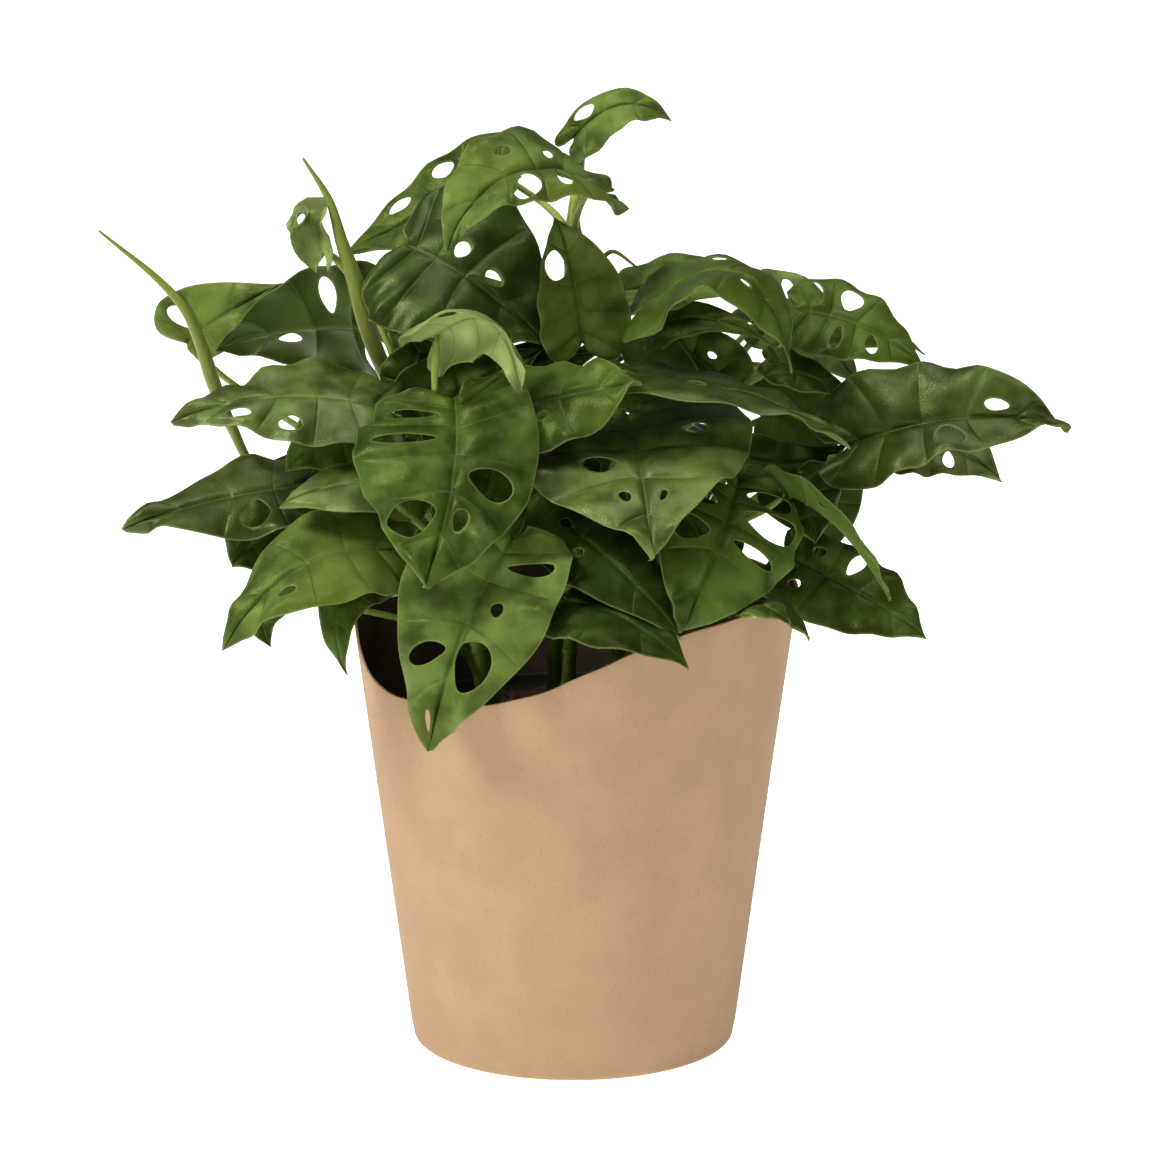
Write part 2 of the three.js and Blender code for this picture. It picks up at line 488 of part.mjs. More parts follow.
// ---------------------------------------------------------------- vines
// Each stem stands in the soil at its foot and rises along its path.
const VINES = [
  { name: "left", foot: [-28, 6], path: [[-42, 10, 160]] },
  { name: "front_left", foot: [-24, -24], path: [[-36, -26, 158]] },
  { name: "front", foot: [-2, -32], path: [[0, -30, 160]] },
  { name: "right", foot: [28, -12], path: [[40, -12, 165]] },
  { name: "back", foot: [14, 24], path: [[18, 26, 175]] },
  { name: "centre", foot: [-6, -2], path: [[-3.5, 0, 200], [-1.5, -4, 238], [0, 5, 264]] },
];

// New leaves that are still rolled: a thin bar from the stem to the leaf's tip.
const ROLLED = [
  { vine: "left", path: [[-41, 10, 158], [-60, 22, 170], [-101, 20, 182], [-109, 14, 197], [-114, 8, 212],
    [-118, 3, 227], [-122, 0, 237], [-130, 2, 246], [-149, 2, 262]], radius: 1.3, swell: 2.2 },
  { vine: "left", path: [[-41, 10, 158], [-53, 4, 200], [-64, -4, 230], [-68, -8, 247], [-72, -10, 260],
    [-76, -8, 273], [-84, -8, 286]], radius: 2.4, swell: 2.8 },
  { vine: "centre", path: [[-6, 0, 195], [3, -10, 236], [7, -10, 251], [12, -10, 257], [20, -10, 252]],
    radius: 1, swell: 1.1 },
];

// A stem stands straight in its hole in the soil and then follows its path.
function stemCurve(vine) {
  const root = vec([...vine.foot, SOIL_TOP - STEM_DEPTH]);
  const ground = vec([...vine.foot, SOIL_TOP + 4]);
  return new THREE.CatmullRomCurve3([root, ground, ...vine.path.map(vec)]);
}

// The place on a stem where a stalk leaves it: lower the further out the stalk has to reach.
function nodeOn(stem, vine, target) {
  const reach = Math.hypot(target.x - vine.foot[0], target.y - vine.foot[1]);
  const level = target.z - NODE_DROP - NODE_SLOPE * reach;
  for (let share = LOWEST_NODE; share < HIGHEST_NODE; share += NODE_STEP) {
    if (stem.getPointAt(share).z > level) {
      return stem.getPointAt(share);
    }
  }
  return stem.getPointAt(HIGHEST_NODE);
}

// A stalk runs from its stem to under the blade and ends just short of it at the base.
function stalkCurve(leaf, vine) {
  const { along, heading, up } = midrib(leaf, 0);
  const start = nodeOn(stemCurve(vine), vine, along);
  const outward = along.clone().sub(start).normalize();
  const arrive = up.clone().addScaledVector(outward, 0.6).addScaledVector(heading, 0.2).normalize();
  const tilt = Math.sqrt(Math.max(0, 1 - arrive.dot(up) ** 2));
  const end = along.clone().addScaledVector(up, -(BLADE / 2 + GAP + leaf.stalk * tilt));
  const length = end.distanceTo(start);
  const rise = new THREE.Vector3(0, 0, 1).addScaledVector(outward, 0.5).normalize();
  return new THREE.CubicBezierCurve3(
    start,
    start.clone().addScaledVector(rise, length * STALK_SETS_OUT).add(vec(leaf.bow)),
    end.clone().addScaledVector(arrive, -length * STALK_ARRIVES).add(vec(leaf.bow)),
    end,
  );
}

function vineGeometry(vine) {
  const stem = stemCurve(vine);
  const stemRadius = (share) => mix(STEM_RADIUS, STEM_TIP_RADIUS, share);
  let body = solid(taperedBar(stem, stemRadius, STEM_SIDES, STEM_STEPS + vine.path.length));
  for (const leaf of LEAVES.filter((one) => one.vine === vine.name)) {
    const stalk = stalkCurve(leaf, vine);
    const steps = Math.max(2, Math.round(stalk.getLength() / STALK_STEP));
    const radiusAt = (share) => leaf.stalk * mix(STALK_FLARE, 1, share);
    body = body.add(solid(taperedBar(stalk, radiusAt, STALK_SIDES, steps)));
  }
  for (const rolled of ROLLED.filter((one) => one.vine === vine.name)) {
    const curve = new THREE.CatmullRomCurve3(rolled.path.map(vec));
    const growing = (share) => Math.max(0, share - ROLLED_SWELL_FROM) / (ROLLED_SWELL_AT - ROLLED_SWELL_FROM);
    const tapering = (share) => (share - ROLLED_SWELL_AT) / (1 - ROLLED_SWELL_AT);
    const radiusAt = (share) => share < ROLLED_SWELL_AT
      ? mix(rolled.radius, rolled.swell, growing(share))
      : mix(rolled.swell, ROLLED_TIP_RADIUS, tapering(share));
    body = body.add(solid(taperedBar(curve, radiusAt, ROLLED_SIDES, ROLLED_STEPS)));
  }
  return geometryFrom(body);
}

// ---------------------------------------------------------------- the plant
const plant = new THREE.Group();

function addPiece(name, geometry, finish) {
  const mesh = new THREE.Mesh(geometry, finish);
  mesh.name = name;
  plant.add(mesh);
}

addPiece("sleeve", sleeveGeometry(), material(0xc79f74, 0.9));
addPiece("nursery_pot", potGeometry(), material(0x1c1b1a, 0.6));
addPiece("soil", soilGeometry(VINES), material(0x3a2a20, 1));
for (const vine of VINES) {
  addPiece(`vine_${vine.name}`, vineGeometry(vine), material(0x8fa85a, 0.55));
}
for (const leaf of LEAVES) {
  addPiece(`leaf_${leaf.name}`, thickened(bladeSheet(leaf), BLADE), material(0x44682f, 0.5));
}

export default plant;
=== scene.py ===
"""A holey-leaved monstera (Monstera adansonii) in its nursery pot, inside a kraft-paper sleeve.

Metres in the finished meshes, the settings and the studio, millimetres in the tables and the other named
sizes. The origin is the centre of the sleeve's underside, +Z is up and -Y is the front.
"""

import bpy
import numpy as np
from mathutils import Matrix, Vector


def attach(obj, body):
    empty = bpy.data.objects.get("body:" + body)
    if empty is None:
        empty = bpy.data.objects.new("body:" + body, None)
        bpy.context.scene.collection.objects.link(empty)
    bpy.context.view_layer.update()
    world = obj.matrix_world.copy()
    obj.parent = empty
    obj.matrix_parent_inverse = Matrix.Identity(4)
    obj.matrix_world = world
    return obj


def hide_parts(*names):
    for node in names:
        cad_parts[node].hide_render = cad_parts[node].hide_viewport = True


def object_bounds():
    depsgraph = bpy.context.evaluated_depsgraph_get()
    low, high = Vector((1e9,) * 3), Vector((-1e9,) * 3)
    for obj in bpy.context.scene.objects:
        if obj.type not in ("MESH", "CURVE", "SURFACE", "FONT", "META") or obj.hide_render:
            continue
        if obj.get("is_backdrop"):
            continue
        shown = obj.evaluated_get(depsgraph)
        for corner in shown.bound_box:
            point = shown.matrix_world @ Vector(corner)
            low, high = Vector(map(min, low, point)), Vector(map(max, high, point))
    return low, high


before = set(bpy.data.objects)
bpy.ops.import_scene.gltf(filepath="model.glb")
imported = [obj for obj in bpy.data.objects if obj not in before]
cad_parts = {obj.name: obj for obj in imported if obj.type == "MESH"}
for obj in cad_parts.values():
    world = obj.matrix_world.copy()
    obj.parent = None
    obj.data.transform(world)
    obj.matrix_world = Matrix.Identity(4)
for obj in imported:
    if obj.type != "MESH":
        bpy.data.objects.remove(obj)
CAD_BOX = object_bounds()

bl_info = {
    "name": "Potted Holey-Leaved Monstera",
    "version": (1, 0, 0),
    "blender": (4, 5, 0),
    "location": "View3D > Sidebar > Monstera",
    "description": "Builds a potted Monstera adansonii: sleeve, pot, soil, stems and holed blades",
    "category": "Object",
}

MM = 0.001

# Paper sleeve.
SLEEVE_FOOT_RADIUS = 51.9
SLEEVE_FLARE = 0.131
RIM_HEIGHT = 148.5
RIM_DIP = 27.0
RIM_DIP_AT = -139.0
RIM_DIP_LEFT = 42.0
RIM_DIP_RIGHT = 59.0
SLEEVE_FLOOR = 1.2
FOOT_ROUNDING = 2.2
SLEEVE_FACETS = 256
FOOT, OUTER, LIP, INNER, FLAT = range(5)  # kinds of rows in the sleeve's profile

# Nursery pot and soil.
POT_FOOT = 1.5
POT_FOOT_RADIUS = 45.0
POT_SHOULDER_RADIUS = 57.5
POT_RIM_RADIUS = 63.0
POT_SHOULDER = 97.0
POT_TOP = 106.0
POT_WALL = 1.0
SOIL_TOP = 103.0
SOIL_CROWN_RADIUS = 36.0
SOIL_ROUGHNESS = 1.2
SCATTER_RADIUS = 55

# Stems, leaf stalks and blades.
STEM_RADIUS = 2.6
STEM_TIP_RADIUS = 1.9
STEM_DEPTH = 16.0
STALK_RADIUS = 1.1
VEIN_POWER = 1.6
VEIN_SWEEP = 1.4
WAVES_ALONG = 2.5
ROLL_FACETS = 22
ROLL_OVERLAP = 0.14
ROLL_TWIST = 2.5

# Where a stalk leaves its stem: this far below the blade's base, lower by a share of the distance out, and
# between these shares of the stem's length.
NODE_DROP = 12
NODE_SLOPE = 0.35
LOWEST_NODE = 0.25
HIGHEST_NODE = 0.98

# Relief of a blade: frill of the margin, slow unevenness, ridges of the midrib and of a side vein.
FRILL = 1.7
UNEVEN = 1.2
RIB_RIDGE = 0.75
VEIN_RIDGE = 0.22
FAR = 9.0  # a distance that is far from every edge
HOLE_BAND = 6  # distance from a hole's edge to its field's border, as the margin line sees it

# Studio, in metres and degrees.
KEY_LIGHT = {"place": (-1.2, -0.7, 1.55), "aim": (0, 0, 0.16), "size": 0.6, "colour": (1.0, 0.985, 0.96)}
TOP_LIGHT = {"place": (0.1, -0.15, 1.6), "aim": (0, 0, 0.15), "size": 0.9}
CAMERA_PLACE = (0.0023, -1.350, 0.431)
CAMERA_TILT = 11.75
SENSOR_WIDTH_MM = 36
FLOOR_RADIUS = 14
FLOOR_CORNERS = 64

# Half outline of a blade as a Bezier polygon: x in blade lengths from the stalk, y in half widths.
OUTLINE = [(-0.07, 0.15), (-0.27, 0.95), (0.1, 1.5), (0.62, 1.15), (0.86, 0.12), (1, 0)]
BELLY = [(0, 0), (0, 0), (0, -0.1), (0.08, 0.22), (0.03, 0.14), (0, 0)]  # what a full blade adds to it

# Holes between two side veins, in shares of the field: middle and radius across it, radius along it.
HOLES = {"O": (0.5, 0.28, 0.32), "L": (0.54, 0.35, 0.44), "B": (0.42, 0.34, 0.42), "n": (0.5, 0.3, 0.18),
         "o": (0.34, 0.14, 0.25), "c": (0.66, 0.15, 0.25), "s": (0.5, 0.1, 0.18),
         "q": (0.32, 0.08, 0.15), "m": (0.2, 0.09, 0.22)}

# Each stem: its foot on the soil and the points that it passes above it.
VINES = {
    "left": ((-28, 6), [(-42, 10, 160)]),
    "front_left": ((-24, -24), [(-36, -26, 158)]),
    "front": ((-2, -32), [(0, -30, 160)]),
    "right": ((28, -12), [(40, -12, 165)]),
    "back": ((14, 24), [(18, 26, 175)]),
    "centre": ((-6, -2), [(-3.5, 0, 200), (-1.5, -4, 238), (0, 5, 264)]),
}

# New leaves that are still rolled: stem, path, radius near the stem and at the thickest place.
ROLLED = [
    ("left", [(-41, 10, 158), (-60, 22, 170), (-101, 20, 182), (-109, 14, 197), (-114, 8, 212),
              (-118, 3, 227), (-122, 0, 237), (-130, 2, 246), (-149, 2, 262)], 1.3, 2.2),
    ("left", [(-41, 10, 158), (-53, 4, 200), (-64, -4, 230), (-68, -8, 247), (-72, -10, 260),
              (-76, -8, 273), (-84, -8, 286)], 2.4, 2.8),
    ("centre", [(-6, 0, 195), (3, -10, 236), (7, -10, 251), (12, -10, 257), (20, -10, 252)], 1.0, 1.1),
]


def blade(name, vine, tone, base, middle, tip, half_width, face, rows, holes="/", fold=(0, 0), curl=(0, 0),
          wave=0, belly=0, width=(1, 1), turn=None, hook=(0, 0, 0), stalk=STALK_RADIUS, bow=(0, 0, 0)):
    """One blade. Its midrib runs from base by middle to tip, ends in a hook, and its upper side turns
    from face to turn. Each half has rows fields between side veins, with a letter of HOLES or - for
    each, its own fold and curl in degrees and its own share of the half width. The margin has waves,
    the outline a belly, and the stalk a radius and a bow. Gives all of these as one dictionary."""
    return {**locals(), "turn": turn or face}


# Blades that have a solid of their own.
# Blades that lie in deep shade take the dark green, as painted shade.
LEAVES = [
    blade("light_heart", "left", "bright", (-124.1, 26, 222.4), (-113.6, 25, 230.7), (-93.1, 23, 242.6), 15,
          (-0.2, -0.9, 0.3), rows=4, holes="/-O", fold=(10, 10), width=(0.7, 1), bow=(-10, 0, -4)),
    blade("dark_underside", "left", "dark", (-57, 12, 229), (-86, 16, 229), (-115, 16, 222), 25,
          (0, 0.75, 0.65), rows=5, holes="-L-o/--n", curl=(0, 25), width=(1, 0.97)),
    blade("new_leaf", "left", "pale", (-78.2, -6, 256), (-83.6, -6, 268.5), (-87.9, -8, 262.2), 8.5,
          (-0.5, -0.3, 0.8), rows=3, curl=(70, 95), wave=2, bow=(0, -22, 0)),
    blade("behind_crown", "centre", "mid", (-21.7, 22, 278.5), (-45.7, 24, 265.5), (-74, 20, 251.3), 16.5,
          (0, -0.6, 0.8), rows=5, holes="--cc/", fold=(10, 10)),
    blade("bluish_top", "centre", "bluish", (-52, -4, 258), (-31, -14, 248), (-8, -18, 228), 27,
          (0.2, -0.8, 0.55), rows=5, holes="/--mm", fold=(5, 10), curl=(-30, -15), wave=1.5, belly=0.4,
          width=(1, 1.15)),
    blade("crown_bright", "centre", "bright", (6.8, -13, 276.8), (-19.3, -27, 282.4), (-39.1, -37, 260), 22,
          (0.15, -0.45, 0.85), rows=6, holes="--qs/--nLs", fold=(0, 30), curl=(-20, -30), wave=2, belly=0.8,
          width=(0.85, 0.62), turn=(0, -1, 0.4)),
    blade("topmost", "centre", "bright", (0.2, 17, 289.5), (15.1, 15, 300.5), (31.1, 12, 298.9), 12,
          (-0.1, -0.8, 0.6), rows=4, holes="/-O", fold=(10, 20), curl=(10, -20), belly=0.5,
          width=(0.9, 0.5), hook=(0, 0, -3.5), stalk=1.7),
    blade("upright_centre", "centre", "bright", (2.8, -15, 228.9), (0, -15, 249.6), (-5.9, -10, 267.8), 14,
          (0.15, -1, 0.1), rows=5, holes="/---L", fold=(20, 20), belly=0.2, width=(1.08, 1)),
    blade("arch_right", "centre", "mid", (23.2, -20, 241.3), (50.8, -28, 252), (67.1, -40, 223.1), 16,
          (0.1, -0.25, 0.95), rows=5, holes="---q/--s", fold=(10, 10), curl=(-20, -30), wave=1.5,
          width=(1.25, 1)),
    blade("behind_arch", "centre", "bright", (21, 8, 243), (41, 10, 247), (58, 8, 236), 13, (0, -0.5, 0.85),
          rows=4, holes="-q/", curl=(-20, -20)),
    blade("dark_arch", "back", "mid", (59, 24, 229.5), (87, 27, 229.5), (113, 23, 219.5), 12,
          (0, -0.5, 0.85), rows=5, holes="--n/", curl=(-20, -25), wave=1),
    blade("arch_below", "back", "mid", (72, 8, 236), (92, 4, 231), (111, -2, 219), 15, (0, -0.7, 0.7),
          rows=5, holes="--nn/-nO", curl=(-15, -20), bow=(0, -12, -4)),
    blade("pale_behind", "back", "pale", (62, 36, 232), (78, 40, 224), (93, 42, 206), 15, (0.2, -0.8, 0.5),
          rows=4, holes="-n/-nn", bow=(0, -8, 0)),
    blade("dark_middle", "back", "mid", (60, 16, 201), (76, 18, 199), (92, 18, 193), 16, (0, -0.8, 0.6),
          rows=4, holes="/-q"),
    blade("big_right", "right", "slate", (86, -12, 195.5), (121, -20, 206), (155, -24, 204), 21,
          (-0.1, -0.5, 0.85), rows=6, holes="---O/----o", fold=(0, 50), curl=(-10, -40), wave=2,
          width=(0.85, 1)),
    blade("below_big_right", "right", "grey", (101, 2, 194.5), (120, 2, 192.5), (136, -2, 182.5), 14,
          (0, -0.6, 0.8), rows=4, holes="-nn/-o", fold=(0, 10)),
    blade("long_edge", "centre", "slate", (15, -30, 221), (51, -40, 217), (85, -46, 201), 18,
          (0.2, -0.15, 1), rows=5, holes="--q/", fold=(15, 15), curl=(-30, -30), width=(1, 0.75)),
    blade("dark_round", "right", "dark", (69.5, -17.4, 187.6), (73.1, -21.4, 178.1), (75.6, -24.4, 166.9),
          13.5, (0.2, -0.9, 0.3), rows=4, curl=(-20, -20)),
    blade("dark_hanging", "right", "dark", (80, 10, 184), (80, 12, 168), (76, 12, 151), 12, (0.1, -1, 0.1),
          rows=4),
    blade("thin_arching", "right", "mid", (64.6, -29.5, 184.7), (82, -40, 175), (98, -44, 153), 11,
          (0.5, 0.2, 0.8), rows=5, holes="--q/", fold=(25, 25)),
    blade("lower_right", "right", "mid", (68.5, -23, 162), (91, -33, 152), (110, -38, 139.5), 16.5,
          (0.1, -0.7, 0.7), rows=5, holes="-s/-on", curl=(-20, -20), belly=0.15),
    blade("over_right_rim", "right", "mid", (45, -38, 158.5), (60, -44, 155.5), (73, -47, 141), 13,
          (0.3, -0.3, 0.9), rows=4, holes="--s/", curl=(-20, -20)),
    blade("front_right_holed", "right", "mid", (50.9, -37.5, 189.4), (43.6, -58, 172.4), (32.7, -71, 148.4),
          23, (0.25, -0.85, 0.45), rows=6, holes="-oOO/-LLn", fold=(10, 10), curl=(-15, -25), wave=1.5,
          belly=0.9, width=(0.9, 1)),
    blade("front_centre_large", "front", "grey", (17.1, -22, 207.7), (21, -54, 194), (24, -80, 173), 38,
          (0, -0.55, 0.83), rows=6, holes="---oq/--s-q", fold=(8, 8), curl=(-20, -20), wave=2, belly=-0.4,
          width=(1.12, 0.95)),
    blade("front_left_bright", "front_left", "mid", (-36, -46, 216), (-36.5, -66, 192.8), (-45, -77, 164),
          29, (-0.1, -0.9, 0.4), rows=6, holes="-nn-L/---Oo", fold=(8, 8), curl=(-25, -25), wave=2.5,
          belly=1.2, width=(1.02, 0.8)),
    blade("front_bottom", "front", "bright", (-18.6, -57, 174.7), (-33.6, -70, 147.6), (-44.1, -72, 111.9),
          23, (-0.3, -0.85, 0.3), rows=5, holes="-q-ns/-nqB", fold=(10, 10), curl=(-10, -20), wave=2.5,
          belly=0.7),
    blade("left_middle", "front_left", "grey", (-58, -26, 210), (-90, -32, 214.5), (-124, -36, 207.5), 21,
          (0, -0.5, 0.85), rows=6, holes="/---cc", fold=(-15, 0), curl=(10, -20), wave=2, belly=0.6,
          width=(1, 0.85)),
    blade("dark_behind_left", "left", "mid", (-63, -8, 199), (-78, -10, 197), (-91, -12, 187), 14,
          (-0.1, -0.8, 0.55), rows=4, holes="-s/"),
    blade("left_low", "left", "slate", (-80, -10, 183), (-111, -14, 179), (-142, -16, 170), 16,
          (0, -0.55, 0.83), rows=5, holes="/-cO", fold=(5, 5), curl=(-20, -30), wave=2.5, belly=0.2),
    blade("big_dark_left", "left", "dark", (-74, 6, 174), (-98, 4, 164), (-109, 2, 154), 22,
          (-0.15, -0.9, 0.4), rows=4, curl=(-20, -20)),
    blade("light_small_left", "front_left", "grey", (-57, -42, 190), (-74, -46, 189), (-90, -48, 183), 12,
          (0, -0.5, 0.85), rows=3, curl=(-20, -20)),
    blade("lower_left", "front_left", "bright", (-56, -46, 169), (-84, -56, 165), (-107, -62, 141), 18,
          (-0.25, -0.65, 0.7), rows=5, holes="/---s", fold=(5, 10), curl=(-20, -25), wave=1.5, belly=0.3),
    blade("hanging_left", "front_left", "mid", (-60, -44, 163), (-72, -54, 153), (-69, -60, 133), 10,
          (-0.5, -0.85, 0.2), rows=4, curl=(-20, -20)),
    blade("small_dark_tip", "left", "dark", (-90, -18, 152.5), (-97.4, -22, 144.3), (-94.8, -26, 134), 8,
          (-0.3, -0.8, 0.5), rows=3),
    blade("grey_inside_left", "front_left", "grey", (-50, -20, 160), (-56, -22, 156), (-61, -22, 149), 11,
          (-0.2, -0.7, 0.7), rows=3, holes="/-o"),
    blade("wide_centre", "front_left", "mid", (-26.4, -40, 209.5), (-1, -49, 218), (21, -53, 222), 17,
          (0.1, -0.7, 0.7), rows=5, holes="--q/", curl=(-20, -20), wave=2.5, belly=0.5, bow=(-6, 2, 2)),
    blade("curled_pale", "front_left", "pale", (-42, -38, 234.6), (-25.1, -52, 241), (-16, -58, 219.9), 14,
          (0.3, 0.7, 0.65), rows=4, holes="-o/", fold=(-10, -10), curl=(-60, -80), wave=1.5, belly=0.5),
    blade("grey_inside", "right", "slate", (16, -2, 221), (30, -4, 214), (44, -4, 202), 14, (0, -0.9, 0.4),
          rows=3),
    blade("right_back", "back", "mid", (48.8, 8, 211.7), (38, 8, 221.3), (27.8, 8, 227.1), 12, (0, -1, 0.2),
          rows=3, holes="-q/"),
    blade("over_front_rim", "front", "dark", (-2.1, -60, 156.3), (16, -72, 153), (35, -78, 139), 16,
          (0.15, -0.5, 0.85), rows=4, curl=(-15, -15)),
    blade("dark_light_margin", "front", "dark", (0, -50, 176), (15, -63, 166), (33, -73, 147), 15,
          (0.1, -0.7, 0.7), rows=4, holes="-q/", curl=(-20, -20)),
    blade("dark_centre", "centre", "mid", (-12, -15, 186), (2, -21, 176), (17, -27, 157), 21,
          (0, -0.85, 0.5), rows=4, holes="--q/-q", curl=(-15, -15)),
    blade("narrow_over_rim", "right", "mid", (54, -61, 155), (60, -66, 155), (66, -68, 150.5), 7,
          (0.1, -0.3, 0.95), rows=3, bow=(5, 0, 8)),
    blade("rear_high_left", "back", "mid", (-28, 36, 231), (-46, 58, 226), (-58, 76, 203), 21,
          (-0.4, 0.6, 0.7), rows=4, holes="-O/-oO", curl=(-20, -20), wave=1.5),
    blade("rear_high", "back", "bright", (6, 40, 236), (10, 64, 235), (13, 88, 214), 23, (0, 0.5, 0.85),
          rows=4, holes="-OO/-O", curl=(-25, -25), wave=1.5),
    blade("rear_high_right", "back", "mid", (42, 56, 209), (61, 72, 205), (74, 88, 182), 21,
          (0.4, 0.6, 0.7), rows=4, holes="-O/-OO", curl=(-20, -20), wave=1.5),
    blade("rear_left", "left", "dark", (-46, 40, 196), (-62, 61, 188), (-72, 76, 163), 22, (-0.5, 0.7, 0.5),
          rows=4, holes="-OO/", curl=(-20, -20), wave=1.5),
    blade("rear_middle", "back", "mid", (-8, 52, 199), (-11, 80, 193), (-14, 100, 165), 26, (0, 0.8, 0.6),
          rows=5, holes="-OO/-O", curl=(-25, -25), wave=1.5),
    blade("rear_right", "back", "bluish", (30, 54, 191), (40, 80, 183), (45, 96, 156), 22, (0.3, 0.8, 0.45),
          rows=4, holes="-oO/-O", curl=(-20, -20), wave=1.5),
    blade("rear_low_left", "back", "dark", (-34, 54, 166), (-48, 73, 160), (-58, 84, 137), 17,
          (-0.4, 0.8, 0.4), rows=4, holes="-O/-o", curl=(-20, -20)),
    blade("rear_low", "back", "mid", (10, 60, 167), (15, 84, 161), (20, 98, 134), 19, (0.1, 0.9, 0.4),
          rows=4, holes="-O/-O", curl=(-20, -20)),
]

# Small dark leaves deep in the plant, in the same form: painted shade, dark sheets that fill the gaps
# between the blades in front.
SHADED_BLADES = [
    blade("shaded_middle", "front_left", "dark", (-47.9, -16, 203.2), (-32.1, -18, 215.2),
          (-8.7, -18, 227.8), 16, (0, -0.9, 0.4), rows=5),
    blade("shaded_low", "front_left", "dark", (-32.1, -30, 172.5), (-25.7, -32, 188), (-22.6, -32, 201.2),
          14, (0.2, -0.9, 0.3), rows=4),
    blade("shaded_right", "right", "dark", (51.1, -4, 191.5), (70.1, -4, 188.6), (87.4, -4, 195.7), 9,
          (0, -0.8, 0.6), rows=4),
    blade("shaded_upper", "back", "dark", (62.1, 0, 220.6), (75.4, 0, 215.5), (88.1, 0, 210.4), 7,
          (0, -0.7, 0.7), rows=4),
    blade("shaded_left", "front_left", "mid", (-68.4, -20, 165.7), (-54.6, -24, 179.3), (-41.3, -28, 191.7),
          12, (0, -0.9, 0.4), rows=4),
    blade("shaded_front", "front", "dark", (9, -14, 186.9), (1.5, -17, 175.7), (-4.1, -20, 162.2), 10,
          (0, -0.9, 0.4), rows=4),
    blade("shaded_centre", "centre", "dark", (-22.9, -10, 215.8), (-7.9, -10, 221.5), (9, -8, 225), 9,
          (0, -0.9, 0.4), rows=4),
    blade("shaded_holed", "right", "dark", (43.5, -22, 161.3), (37.1, -24, 172.9), (29.5, -26, 185), 13,
          (0.1, -0.9, 0.3), rows=4),
    blade("shaded_corner", "front_left", "dark", (-69.4, -16, 177.7), (-58.9, -18, 189.3),
          (-47.8, -20, 201.7), 9, (0, -0.9, 0.4), rows=4),
    blade("shaded_edge", "left", "dark", (-54.9, -10, 213.9), (-49.5, -10, 222.8), (-44.8, -8, 232), 8,
          (0, -0.9, 0.4), rows=4),
    blade("shaded_strip", "centre", "mid", (21.1, 2, 227.3), (40, 4, 234), (62.8, 4, 225.4), 7,
          (0, -0.7, 0.7), rows=4),
]


# ---------------------------------------------------------------- settings
def colour_setting(name, description, red, green, blue):
    """A colour that a user can change."""
    return bpy.props.FloatVectorProperty(name=name, description=description, subtype="COLOR", size=3,
                                         min=0, max=1, default=(red, green, blue))


class SleeveSettings(bpy.types.PropertyGroup):
    """Paper sleeve."""
    paper: colour_setting("Paper", "Colour of the kraft paper's outer face", 0.346, 0.226, 0.124)
    fibre: colour_setting("Fibres", "Colour of the darker fibres in the paper", 0.190, 0.110, 0.053)
    # A dark brown for the sleeve's inner face.
    lining: colour_setting("Lining", "Colour of the sleeve's inner face", 0.060, 0.036, 0.020)
    wall: bpy.props.FloatProperty(
        name="Wall", description="Thickness of the paper", subtype="DISTANCE",
        min=0.0004, max=0.002, default=0.0010)
    buckle: bpy.props.FloatProperty(
        name="Buckle", description="How far the paper bows out of round", subtype="DISTANCE",
        min=0.0, max=0.002, default=0.0005)


class PotSettings(bpy.types.PropertyGroup):
    """Nursery pot and soil."""
    plastic: colour_setting("Plastic", "Colour of the nursery pot", 0.018, 0.017, 0.016)
    soil: colour_setting("Soil", "Colour of the damp potting soil", 0.090, 0.052, 0.028)
    bark: colour_setting("Bark", "Colour of the bark chips on the soil", 0.150, 0.080, 0.042)
    perlite: colour_setting("Perlite", "Colour of the pale grains in the soil", 0.46, 0.40, 0.31)
    chips: bpy.props.IntProperty(
        name="Chips", description="Number of bark chips", min=0, max=900, default=520)
    grains: bpy.props.IntProperty(
        name="Grains", description="Number of pale grains", min=0, max=400, default=130)


class StemSettings(bpy.types.PropertyGroup):
    """Stems, stalks and rolled leaves."""
    stem: colour_setting("Stem", "Colour of the stems and stalks", 0.216, 0.272, 0.050)
    # The stem shade green is both the darker green of older stems and painted shade on stems deep in the
    # plant.
    stem_shade: colour_setting("Stem shade", "Darker green of the older stems", 0.098, 0.138, 0.022)
    rolled: colour_setting("Rolled leaf", "Colour of the new leaves that are still rolled",
                           0.126, 0.150, 0.028)
    sides: bpy.props.IntProperty(
        name="Sides", description="Facets round a stalk", min=6, max=32, default=12)


class BladeSettings(bpy.types.PropertyGroup):
    """Blades."""
    bright: colour_setting("Bright", "Green of the young blades", 0.088, 0.135, 0.026)
    mid: colour_setting("Middle", "Green of the grown blades", 0.044, 0.074, 0.011)
    # The dark green is painted shade: it goes on the blades that lie in deep shade, under and inside the
    # foliage.
    dark: colour_setting("Dark", "Green of the oldest blades", 0.016, 0.028, 0.004)
    bluish: colour_setting("Bluish", "Green of the large bluish blades", 0.022, 0.036, 0.006)
    slate: colour_setting("Slate", "Green of the greyish blades", 0.028, 0.043, 0.005)
    grey: colour_setting("Grey green", "Green of the pale greyish blades", 0.074, 0.104, 0.018)
    pale: colour_setting("Pale", "Green of the unfolding blades", 0.180, 0.235, 0.070)
    vein: colour_setting("Veins", "Colour of the midrib and side veins", 0.105, 0.155, 0.036)
    margin: colour_setting("Margins", "Colour of the thin edge round blades and holes", 0.190, 0.240, 0.070)
    thickness: bpy.props.FloatProperty(
        name="Thickness", description="Thickness of a blade between its veins", subtype="DISTANCE",
        min=0.0002, max=0.001, default=0.00045)
    quilting: bpy.props.FloatProperty(
        name="Quilting", description="How far the blade swells between its side veins", subtype="DISTANCE",
        min=0.0, max=0.0015, default=0.0009)


